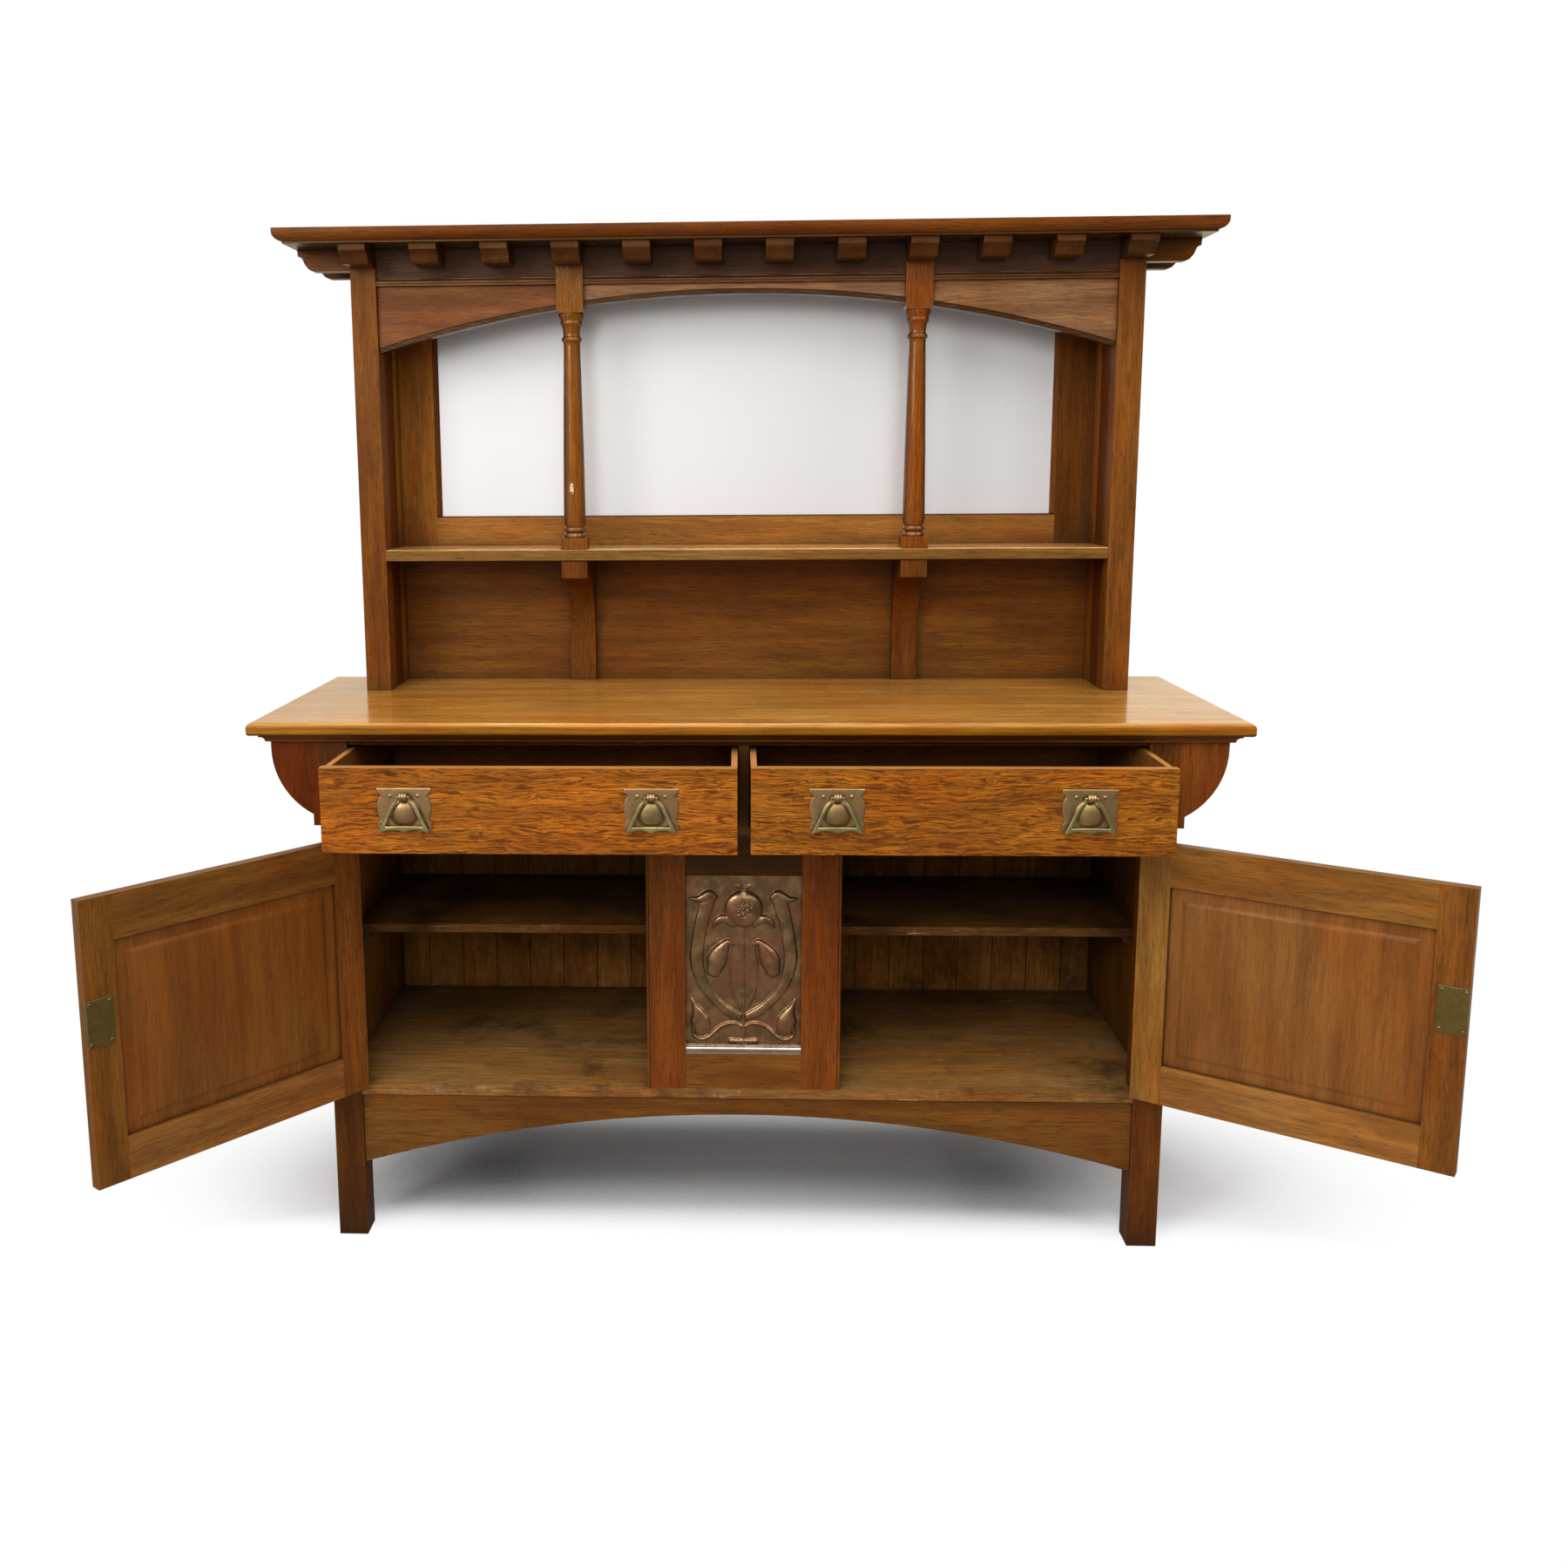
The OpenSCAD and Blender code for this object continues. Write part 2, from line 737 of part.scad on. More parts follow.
module door_left_metal() {
  color(brass) seat() open_left() door_metal_closed();
}

module door_left_bolt() {
  color(brass) seat() open_left() door_bolt_closed();
}

module door_right_frame() {
  color(oak) seat() open_right() door_frame_closed();
}

module door_right_panel() {
  color(oak_red) seat() open_right() door_panel_closed();
}

module door_right_metal() {
  color(brass) seat() open_right() door_metal_closed();
}

module door_right_bolt() {
  color(brass) seat() open_right() door_bolt_closed();
}

// Right drawer's pieces as if closed
module drawer_front_closed() {
  span([drawer_in, front_y, drawer_z],
    [drawer_ext, front_y + drawer_front_t, drawer_z + drawer_h]);
}

module drawer_box_closed() {
  y0 = front_y + drawer_front_t;
  y1 = drawer_end;
  high = drawer_z + drawer_h - 4;
  span([drawer_in, y0, drawer_z], [drawer_in + drawer_side_t, y1, high]);
  span([drawer_ext - drawer_side_t, y0, drawer_z], [drawer_ext, y1, high]);
  span([drawer_in + drawer_side_t + hair, y1 - drawer_side_t, drawer_z + 12],
    [drawer_ext - drawer_side_t - hair, y1, high - 8]);
}

module drawer_bottom_closed() {
  span([drawer_in + drawer_side_t, front_y + drawer_front_t, drawer_z + 6],
    [drawer_ext - drawer_side_t, drawer_end, drawer_z + 12]);
}

// Handle plate outline about the pivot: eared top bar, notches, waisted sides
module plate_outline() {
  h = plate_w / 2;
  top = 13;
  low = top - plate_h;
  polygon([[-h, top], [h, top], [h, top - 6], [h - 4, top - 8], [h - 1.5, top - 12],
    [h - 4, top - 26], [h - 3, low + 16], [h, low], [-h, low], [-h + 3, low + 16],
    [-h + 4, top - 26], [-h + 1.5, top - 12], [-h + 4, top - 8], [-h, top - 6]]);
}

module handle_plate(x) {
  translate([x, 0, pivot_z]) {
    along_y(front_y - 1.6, front_y) plate_outline();
    intersection() {
      translate([0, front_y - 1.6 + 41.6, -29]) sphere(46.6, $fn = 96);
      span([-24, front_y - 10, -53], [24, front_y - 0.8, -5]);
    }
    difference() {
      union() {
        translate([-7, knuckle_y, 0]) rotate([0, 90, 0]) cylinder(14, 6.6, 6.6);
        for (i = [-2 : 2])
          translate([i * 2.8 - 0.8, knuckle_y, 0]) rotate([0, 90, 0]) cylinder(1.6, 7.2, 7.2);
        span([-7, knuckle_y, -4], [7, front_y - 1, 4]);
      }
      translate([-8, knuckle_y, 0]) rotate([0, 90, 0])
        cylinder(16, pivot_r + pivot_gap, pivot_r + pivot_gap);
    }
    for (s = [-22, 22])
      translate([s, front_y - 3, 0.5]) rotate([-90, 0, 0]) cylinder(1.6, 1.6, 2.8);
  }
}

module bail_half() {
  polygon([[0, -47], [29, -47], [25.5, -38], [21.5, -29], [16.5, -19], [12, -12.5],
    [7.8, -7.5], [7.8, 2], [10.6, 2], [11.6, -4.5], [16, -9], [22, -17], [27.5, -28],
    [32.5, -40], [37.5, -50], [41, -58], [35, -56.5], [27, -53], [20, -52],
    [10, -53.5], [4, -55.5], [0, -57.5]]);
}

module bail(x) {
  translate([x, 0, pivot_z]) {
    along_y(knuckle_y - 2.2, knuckle_y + 2.2) union() {
      bail_half();
      mirror([1, 0]) bail_half();
    }
    translate([-9, knuckle_y, 0]) rotate([0, 90, 0]) cylinder(18, pivot_r, pivot_r);
  }
}

module out_left() {
  translate([0, -drawer_out_left, 0]) mirror([1, 0, 0]) children();
}

module out_right() {
  translate([0, -drawer_out_right, 0]) children();
}

module drawer_left_front() {
  color(oak_figured) seat() out_left() drawer_front_closed();
}

module drawer_left_box() {
  color(oak_light) seat() out_left() drawer_box_closed();
}

module drawer_left_bottom() {
  color(oak_light) seat() out_left() drawer_bottom_closed();
}

module drawer_left_plates() {
  color(brass) seat() out_left() {
    handle_plate(drawer_mid - handle_x);
    handle_plate(drawer_mid + handle_x);
  }
}

module bail_left_a() {
  color(brass) seat() out_left() bail(drawer_mid + handle_x);
}

module bail_left_b() {
  color(brass) seat() out_left() bail(drawer_mid - handle_x);
}

module drawer_right_front() {
  color(oak_figured) seat() out_right() drawer_front_closed();
}

module drawer_right_box() {
  color(oak_light) seat() out_right() drawer_box_closed();
}

module drawer_right_bottom() {
  color(oak_light) seat() out_right() drawer_bottom_closed();
}

module drawer_right_plates() {
  color(brass) seat() out_right() {
    handle_plate(drawer_mid - handle_x);
    handle_plate(drawer_mid + handle_x);
  }
}

module bail_right_a() {
  color(brass) seat() out_right() bail(drawer_mid - handle_x);
}

module bail_right_b() {
  color(brass) seat() out_right() bail(drawer_mid + handle_x);
}

module upper_posts() {
  color(oak) seat() both()
    span([post_in, post_y, top_z], [leg_out, post_y + post_w, soffit_z]);
}

module rear_posts() {
  color(oak) seat() both()
    span([post_in, rear_post_y, top_z], [leg_out, upper_back, soffit_z]);
}

module upper_sides() {
  color(oak) seat() both()
    span([post_in, post_y + post_w, top_z], [post_in + 18, rear_post_y, soffit_z]);
}

module niche_back() {
  color(oak_dark) seat()
    span([-post_in, niche_back_y, top_z], [post_in, niche_back_y + niche_t, shelf_under]);
}

module upper_shelf() {
  color(oak_light) seat() along_x(-post_in, post_in) translate([post_y, shelf_under])
    edge_section(mirror_y + 4 - post_y, shelf_t, 2, 3);
}

// Side view of a bracket under the shelf: block, hollow sweep, upright foot
module bracket_side() {
  low = shelf_under - 33;
  r = 131;
  front = post_y + 4;
  back = niche_back_y;
  difference() {
    polygon([[front, shelf_under], [front, low], [front + 13, low],
      [front + 13, low - r], [back, low - r - 0.01], [back, shelf_under]]);
    translate([front + 13, low - r]) circle(r, $fn = 96);
  }
  translate([front + 13 + r, top_z]) square([back - front - 13 - r, low - r - top_z + 0.02]);
}

module shelf_brackets() {
  color(oak) seat() both()
    along_x(column_x - 24.5, column_x + 24.5) bracket_side();
}

// Half section of the turned part: radius, and height as a share of 413
turned_profile = [
  [20, 0], [20.5, 3], [19, 8], [17.5, 9.5], [20, 12], [20.5, 15], [19.5, 19], [18, 20],
  [19.5, 23], [20.8, 32], [20.8, 60], [19.5, 160], [17.5, 270], [15.6, 355], [16.2, 361],
  [18.6, 363], [19, 366], [18.4, 369], [16, 371], [15.6, 376], [16.4, 384], [18.2, 390],
  [20.4, 393], [20.8, 396], [20.4, 399], [21.5, 402], [24, 408], [24.4, 413]];

module turned_section() {
  size = column_block / 50;
  polygon(concat([[0, 0]], [for (p = turned_profile) [p[0] * size, p[1] / 413 * turned_h]],
    [[0, turned_h]]));
}

module columns() {
  h = column_block / 2;
  top = turned_z + turned_h;
  color(oak) seat() both() translate([column_x, post_y + h, 0]) {
    span([-h, -h, shelf_z], [h, h, turned_z]);
    translate([0, 0, turned_z]) rotate_extrude($fn = 64) turned_section();
    difference() {
      span([-h, -h, top], [h, h, soffit_z]);
      for (s = [-1, 1]) difference() {
        translate([s * h, 0, top]) cube([16, 60, 16], center = true);
        translate([s * (h - 8), 40, top + 8]) rotate([90, 0, 0]) cylinder(80, 8, 8);
      }
    }
  }
}

module mirror_frame() {
  m = mirror_half + 10;
  color(oak) seat() {
    both() span([m, mirror_y, shelf_z], [post_in, upper_back, soffit_z]);
    span([-m + hair, mirror_y, shelf_z], [m - hair, upper_back, mirror_low_z - 3]);
    span([-m + hair, mirror_y, mirror_top_z + 10], [m - hair, upper_back, soffit_z]);
  }
}

// Moulded inner edge that holds the glass
module mirror_bead() {
  m = mirror_half;
  color(oak_dark) seat() {
    both() translate([0, 0, mirror_low_z + hair])
      linear_extrude(mirror_top_z - mirror_low_z - 2 * hair)
      polygon([[m, glass_y], [m, glass_y - 2], [m + 4, glass_y - 5],
        [m + 10, glass_y - 6], [m + 10, glass_y]]);
    along_x(-m - 10, m + 10) polygon([[glass_y - 6, mirror_low_z - 3],
      [glass_y - 4, mirror_low_z - 1], [glass_y - 2, mirror_low_z],
      [glass_y, mirror_low_z], [glass_y, mirror_low_z - 3]]);
    along_x(-m - 10, m + 10) polygon([[glass_y - 6, mirror_top_z + 10],
      [glass_y - 5, mirror_top_z + 4], [glass_y - 2, mirror_top_z],
      [glass_y, mirror_top_z], [glass_y, mirror_top_z + 10]]);
  }
}

module mirror_glass() {
  m = mirror_half;
  color("white") seat()
    span([-m - 9.5, glass_y, mirror_low_z - 2.5], [m + 9.5, glass_y + 4, mirror_top_z + 9.5]);
}

module mirror_back() {
  m = mirror_half;
  color(oak_dark) seat() span([-m - 9.5, glass_y + 4, mirror_low_z - 2.5],
    [m + 9.5, glass_y + 9, mirror_top_z + 9.5]);
}

// Arch disc of the frieze, with an allowance inwards
module arch_disc(inset) {
  r = arch_r(post_in, arch_crown_z - arch_end_z);
  translate([0, arch_crown_z - r]) circle(r - inset, $fn = 360);
}

// Three spans between the posts and the column blocks
module three_bays(y0, y1, z0, z1) {
  h = column_block / 2;
  span([-column_x + h, y0, z0], [column_x - h, y1, z1]);
  both() span([column_x + h, y0, z0], [post_in, y1, z1]);
}

module frieze() {
  color(oak_red) seat() difference() {
    three_bays(frieze_y, frieze_y + frieze_t, arch_end_z - 40, fascia_z - 2);
    along_y(frieze_y - 1, frieze_y + frieze_t + 1) arch_disc(0);
  }
}

// Rounded strip that lines the arch under the frieze
module arch_moulding() {
  color(oak) seat() difference() {
    intersection() {
      three_bays(frieze_y + 2, frieze_y + 26, arch_end_z - 60, arch_crown_z + 10);
      along_y(frieze_y, frieze_y + 28) arch_disc(0);
    }
    along_y(frieze_y, frieze_y + 28) arch_disc(9);
  }
}

module bed_mould() {
  z0 = arch_crown_z + 10;
  color(oak_dark) seat() difference() {
    three_bays(frieze_y - 7, frieze_y, z0, z0 + bed_h);
    translate([-leg_out, frieze_y - 8, z0 + 3.5]) cube([leg_out * 2, 3, 1]);
    translate([-leg_out, frieze_y - 9, z0 + bed_h]) rotate([0, 90, 0])
      cylinder(leg_out * 2, 6, 6);
  }
}

module fascia() {
  color(oak_dark) seat() three_bays(fascia_y, fascia_y + frieze_t, fascia_z, soffit_z);
}

// Cornice profile of a side console: d runs out from the post, z is the height
module console_outline() {
  x0 = leg_out;
  tip = leg_out + console_reach;
  difference() {
    polygon([[x0, soffit_z], [tip, soffit_z], [tip - 1, soffit_z - 11],
      [tip - 11, soffit_z - 21], [tip - 14, soffit_z - 27], [tip - 21, soffit_z - 35],
      [tip - 30, soffit_z - 38], [x0, soffit_z - 38]]);
    translate([tip + 0.5, soffit_z - 22.5]) circle(11.6);
  }
  translate([tip - 30, soffit_z - 28]) circle(10);
}

module side_consoles() {
  color(oak) seat() both() {
    along_y(console_y, console_y + console_t) console_outline();
    along_y(console_rear_y, console_rear_y + console_t) console_outline();
  }
}

// Side view of a modillion: short upright face over a hollow
module modillion_side(back) {
  difference() {
    polygon([[modillion_y, soffit_z], [modillion_y, soffit_z - 12],
      [modillion_y + 25, soffit_z - modillion_h], [back, soffit_z - modillion_h],
      [back, soffit_z]]);
    translate([modillion_y - 7, soffit_z - modillion_h - 8]) circle(30, $fn = 96);
  }
}

module modillions() {
  mid = (leg_out + post_in) / 2;
  pitch = 2 * mid / (modillion_count - 1);
  color(oak) seat() for (i = [0 : modillion_count - 1]) {
    x = -mid + i * pitch;
    over_post = abs(x) + modillion_w / 2 > post_in;
    over_column = abs(abs(x) - column_x) < (modillion_w + column_block) / 2;
    along_x(x - modillion_w / 2, x + modillion_w / 2)
      modillion_side(over_post || over_column ? post_y : fascia_y);
  }
}

module soffit_board() {
  h = cornice_half - 15;
  color(oak_light) seat()
    span([-h, cornice_y + 14, soffit_z], [h, upper_back, soffit_z + soffit_t]);
}

module cornice_board() {
  color(oak) seat() edged_plate(cornice_half, cornice_y, upper_back + 4,
    soffit_z + soffit_t, cornice_t, 15, 2);
}

base_top();
under_moulding();
side_brackets();
front_legs();
rear_legs();
side_panels();
front_rails();
drawer_runners();
drawer_guides();
partitions();
floor_board();
apron();
lower_rails();
inner_shelves();
shelf_bearers();
back_boards();
centre_frame();
panel_backing();
copper_panel();
panel_bead();
frame_hinges();
niche_back();
upper_posts();
rear_posts();
upper_sides();
upper_shelf();
shelf_brackets();
columns();
mirror_frame();
mirror_bead();
mirror_glass();
mirror_back();
frieze();
arch_moulding();
bed_mould();
fascia();
side_consoles();
modillions();
soffit_board();
cornice_board();
drawer_left_front();
drawer_left_box();
drawer_left_bottom();
drawer_left_plates();
bail_left_a();
bail_left_b();
drawer_right_front();
drawer_right_box();
drawer_right_bottom();
drawer_right_plates();
bail_right_a();
bail_right_b();
door_left_frame();
door_left_panel();
door_left_metal();
door_left_bolt();
door_right_frame();
door_right_panel();
door_right_metal();
door_right_bolt();
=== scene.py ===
import json
import math
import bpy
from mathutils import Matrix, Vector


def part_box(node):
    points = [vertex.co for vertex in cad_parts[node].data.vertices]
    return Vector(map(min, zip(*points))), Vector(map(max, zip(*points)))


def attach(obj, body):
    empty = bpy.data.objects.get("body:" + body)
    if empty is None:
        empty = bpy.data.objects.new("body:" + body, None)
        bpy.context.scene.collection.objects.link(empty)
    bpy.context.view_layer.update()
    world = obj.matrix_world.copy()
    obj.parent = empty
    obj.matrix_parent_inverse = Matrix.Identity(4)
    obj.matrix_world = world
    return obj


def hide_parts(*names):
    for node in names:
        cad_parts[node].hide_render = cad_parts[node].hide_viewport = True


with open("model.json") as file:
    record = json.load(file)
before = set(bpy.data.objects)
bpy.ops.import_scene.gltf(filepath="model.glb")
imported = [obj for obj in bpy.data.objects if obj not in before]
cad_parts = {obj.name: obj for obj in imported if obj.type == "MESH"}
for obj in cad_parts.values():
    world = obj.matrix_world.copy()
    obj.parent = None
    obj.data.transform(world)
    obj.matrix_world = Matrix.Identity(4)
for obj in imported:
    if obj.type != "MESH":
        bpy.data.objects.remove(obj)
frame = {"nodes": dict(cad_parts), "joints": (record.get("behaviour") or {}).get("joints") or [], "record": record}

from types import SimpleNamespace

import bpy
import numpy as np
from bpy.props import FloatProperty, FloatVectorProperty, PointerProperty
from mathutils import Matrix, Vector

bl_info = {
    "name": "Mirror-back sideboard",
    "version": (1, 0, 0),
    "blender": (4, 5, 0),
    "location": "3D View > Sidebar > Sideboard",
    "description": "Finishes, metalwork and stage for an oak sideboard with a mirror back",
    "category": "Object",
}

MM = 0.001
SIDES = ("left", "right")
BAILS = ("bail_left_a", "bail_left_b", "bail_right_a", "bail_right_b")
JOINTS = {joint["child"]: joint for joint in frame["joints"]}


def colour(name, text, value):
    return FloatVectorProperty(name=name, description=text, default=value, subtype="COLOR",
                               min=0, max=1)


def length(name, text, value):
    return FloatProperty(name=name, description=text, default=value, unit="LENGTH", min=0)


class WoodSettings(bpy.types.PropertyGroup):
    """Colours and scales of the oak"""
    frame_light: colour("Oak, light", "Ground of the stained oak", (0.30, 0.108, 0.014))
    frame_dark: colour("Oak, dark", "Grain lines of the stained oak", (0.075, 0.020, 0.0025))
    top_light: colour("Top, light", "Ground of the polished top", (0.64, 0.315, 0.060))
    top_dark: colour("Top, dark", "Grain lines of the polished top", (0.17, 0.055, 0.006))
    drawer_light: colour("Drawer, light", "Ground of the figured fronts", (0.515, 0.168, 0.0100))
    drawer_dark: colour("Drawer, dark", "Flames of the figured fronts", (0.080, 0.0165, 0.0016))
    panel_light: colour("Panel, light", "Ground of the door panels", (0.235, 0.078, 0.010))
    panel_dark: colour("Panel, dark", "Grain lines of the door panels", (0.09, 0.024, 0.003))
    inner_light: colour("Inside, light", "Ground of the bare inside", (0.24, 0.100, 0.020))
    inner_dark: colour("Inside, dark", "Grain lines of the bare inside", (0.060, 0.021, 0.003))
    worn: colour("Worn edge", "Wood where an edge is rubbed", (0.40, 0.17, 0.042))
    chip: colour("Chips", "Bare wood in small chips", (0.55, 0.42, 0.24))
    # Grime and shade: dirt in pores and joints, and the colour of painted shade in corners, under faces, on turned
    # sides and towards the back
    grime_and_shade: colour("Grime", "Dirt in corners and pores", (0.022, 0.011, 0.005))
    ruddy: colour("Ruddy patches", "Tint of the redder patches", (0.98, 0.74, 0.48))
    polish: colour("Polish", "Tone of the light on the polish", (1.0, 0.80, 0.55))
    dust: colour("Dust", "Pale film on the boards inside", (0.26, 0.20, 0.12))
    scratch: colour("Scratches", "Pale scratches in the cupboards", (0.36, 0.29, 0.19))
    edge_radius: length("Edge radius", "Softening of every wooden edge", 1.6 * MM)
    ring_spacing: length("Ring spacing", "Distance between growth rings", 3.6 * MM)


class MetalSettings(bpy.types.PropertyGroup):
    """Colours of the metalwork and of the mirror's silver"""
    brass: colour("Brass", "Rubbed high spots of the brass", (0.32, 0.200, 0.072))
    bail: colour("Bail brass", "Greenish gold of the bails", (0.37, 0.30, 0.125))
    brass_old: colour("Old brass", "Aged ground of the brass", (0.13, 0.095, 0.036))
    brass_rose: colour("Rosy brass", "Reddish patches of the brass", (0.25, 0.125, 0.062))
    copper: colour("Copper", "Rubbed high spots of the copper", (0.285, 0.170, 0.080))
    copper_old: colour("Old copper", "Aged ground of the copper", (0.090, 0.050, 0.020))
    copper_rose: colour("Rosy copper", "Reddish patches of the copper", (0.195, 0.082, 0.042))
    strip: colour("Strip", "Rubbed high spots of the copper strip", (0.42, 0.33, 0.26))
    strip_old: colour("Old strip", "Aged ground of the copper strip", (0.25, 0.18, 0.13))
    lock: colour("Lock brass", "High spots of locks and hinges", (0.145, 0.098, 0.024))
    lock_old: colour("Old lock brass", "Ground of locks and hinges", (0.077, 0.050, 0.0115))
    # Rubbed edges, and a painted highlight for the glints on the locks' edges and screws
    lock_rub_and_glint: colour("Lock edges", "Rubbed edges of locks and hinges", (0.45, 0.38, 0.20))
    silver: colour("Silver", "Clearer areas of the mirror", (0.756, 0.747, 0.747))
    silver_mist: colour("Misty silver", "Duller areas of the mirror", (0.72, 0.711, 0.72))


class ReliefSettings(bpy.types.PropertyGroup):
    """Sizes of the embossed panel"""
    pitch: length("Pitch", "Spacing of the sheet's points", 1.0 * MM)
    head_height: length("Seed head", "Rise of the seed head", 12 * MM)
    pod_height: length("Pods", "Rise of the two pods", 10 * MM)
    bud_height: length("Buds", "Rise of the corner buds", 8.5 * MM)
    hammering: length("Hammering", "Depth of the hammer marks", 0.25 * MM)


class StageSettings(bpy.types.PropertyGroup):
    """Floor, lamps and camera"""
    floor: colour("Floor", "Colour of the floor", (0.92, 0.92, 0.92))
    # Painted shadow: colour of the floor close under the sideboard
    floor_shadow: colour("Floor below", "Floor under the sideboard", (0.12, 0.12, 0.12))
    floor_seen: colour("Floor in gloss", "Floor as gloss shows it", (0.30, 0.265, 0.23))
    window: colour("Window", "Tone of the window that gloss shows", (1.0, 0.90, 0.70))
    sky: FloatProperty(name="Fill", description="Strength of the light from all round",
                       default=0.30, min=0)
    key: FloatProperty(name="Key lamp", description="Power of the large front lamp",
                       default=135, min=0, unit="POWER")
    focal: FloatProperty(name="Focal length", description="Lens in millimetres",
                         default=34.617, min=1)


class Nodes:
    """A node tree, in which each call adds one node and gives its output"""

    def __init__(self, tree):
        self.tree = tree

    def put(self, socket, value):
        """Links an output to the socket, or sets the socket's number or colour"""
        if isinstance(value, bpy.types.NodeSocket):
            self.tree.links.new(value, socket)
        elif hasattr(value, "__len__"):
            size = len(socket.default_value)
            socket.default_value = (tuple(value) + (1,))[:size]
        else:
            socket.default_value = value

    def add(self, kind, inputs, output=0, **settings):
        node = self.tree.nodes.new(kind)
        for key, value in settings.items():
            setattr(node, key, value)
        for key, value in inputs.items():
            self.put(node.inputs[key], value)
        return node.outputs[output]

    def maths(self, operation, a, b=0):
        return self.add("ShaderNodeMath", {0: a, 1: b}, operation=operation)

    def share(self, a, b):
        """One number times another"""
        return self.maths("MULTIPLY", a, b)

    def vectors(self, operation, a, b=(0, 0, 0), output="Vector"):
        return self.add("ShaderNodeVectorMath", {0: a, 1: b}, output, operation=operation)

    def times(self, vector, factors):
        return self.vectors("MULTIPLY", vector, factors)

    def plus(self, vector, other):
        return self.vectors("ADD", vector, other)

    def distance(self, vector):
        """Distance of a place from the origin"""
        return self.vectors("LENGTH", vector, output="Value")

    def axis(self, vector, name):
        return self.add("ShaderNodeSeparateXYZ", {0: vector}, name)

    def normal(self):
        return self.add("ShaderNodeNewGeometry", {}, "Normal")

    def place(self):
        return self.add("ShaderNodeTexCoord", {}, "Object")

    def attribute(self, name):
        return self.add("ShaderNodeAttribute", {}, "Vector", attribute_name=name)

    def ray(self, kind):
        """1 for the rays of one kind, such as Camera or Glossy"""
        return self.add("ShaderNodeLightPath", {}, f"Is {kind} Ray")

    def noise(self, vector, size, detail=3, roughness=0.55, output=0):
        """Noise with so many waves in a metre, or with one number for each direction"""
        if isinstance(size, tuple):
            vector, size = self.times(vector, size), 1
        inputs = {"Vector": vector, "Scale": size, "Detail": detail, "Roughness": roughness}
        return self.add("ShaderNodeTexNoise", inputs, output)

    def between(self, value, low, high, to_low=0, to_high=1, curve="SMOOTHSTEP"):
        """A number that goes from to_low to to_high while the value goes from low to high"""
        inputs = {"Value": value, "From Min": low, "From Max": high, "To Min": to_low,
                  "To Max": to_high}
        return self.add("ShaderNodeMapRange", inputs, interpolation_type=curve)

    def spots(self, vector, size, low, high, detail=3, roughness=0.55):
        """Noise turned into spots: 0 below the value low, 1 above the value high"""
        return self.between(self.noise(vector, size, detail, roughness), low, high)

    def mix(self, share, a, b, blend="MIX"):
        return self.add("ShaderNodeMix", {0: share, 6: a, 7: b}, 2, data_type="RGBA",
                        blend_type=blend)


class Shader(Nodes):
    """The node tree of one material"""

    def __init__(self, name):
        self.material = bpy.data.materials.new(name)
        self.material.use_nodes = True
        super().__init__(self.material.node_tree)
        self.surface = self.tree.nodes["Principled BSDF"]

    def edges(self, radius):
        """Softened normal, and how far it turns from the flat face"""
        soft = self.add("ShaderNodeBevel", {"Radius": radius}, samples=4)
        same = self.vectors("DOT_PRODUCT", soft, self.normal(), "Value")
        return soft, self.between(same, 0.995, 0.80)

    def shade(self, reach, samples=4):
        """Darkness of corners: 0 in the open, 1 deep in a corner"""
        light = self.add("ShaderNodeAmbientOcclusion", {"Distance": reach}, "AO",
                         samples=samples)
        return self.between(light, 0.75, 0.25)

    def bump(self, height, distance, normal, strength):
        inputs = {"Height": height, "Distance": distance, "Strength": strength,
                  "Normal": normal}
        return self.add("ShaderNodeBump", inputs)

    def finish(self, **values):
        """The material, with these values in the surface's sockets"""
        for key, value in values.items():
            name = key.replace("_", " ").title().replace("Ior", "IOR")
            self.put(self.surface.inputs[name], value)
        return self.material


# One oak finish. Shares run from 0 to 1, and sizes count waves in a metre along and across
# the board. A finish names only what differs from these values.
OAK_LOOK = {
    "rings": 0.40,  # darkness of the growth rings
    "streaks": 0.22,  # darkness of the streaks
    "streak_size": (6, 330, 330),  # size of the streaks
    "detail": 4,  # raggedness of the streaks
    "sway": (0.034, 0.008),  # metres that the rings wander, far and near
    "pores": 0.30,  # darkness of the open pores
    "fine": 0.40,  # darkness of the fibres
    "clouds": 0.40,  # depth of the cloudy tone
    "gloss": 0.34,  # roughness of the polish
    "specular": 0.14,  # strength of the polish
    "coat": 0.0,  # varnish on faces that look up
    "bumps": 0.5,  # depth of pores and fibres
    "radius": 1.0,  # softening of edges, beside the setting
    "wear": 0.55,  # rubbing of edges
    "top_wear": 0.0,  # rubbing of faces that look up
    "upright": None,  # tint of faces that stand, and painted shade on faces that look down
    "grain_upright": False,  # grain that runs upwards, not along the longest side
    "limb": 0.0,  # painted shade where a turned piece bends away
    "chip_at": None,  # place of one white chip
    "seam": 0.005,  # metres that the dirt of a corner reaches
    "dust": 0.0,  # dust and blots
    "far": 0.0,  # painted shade and dirt towards the back, and scratches
}


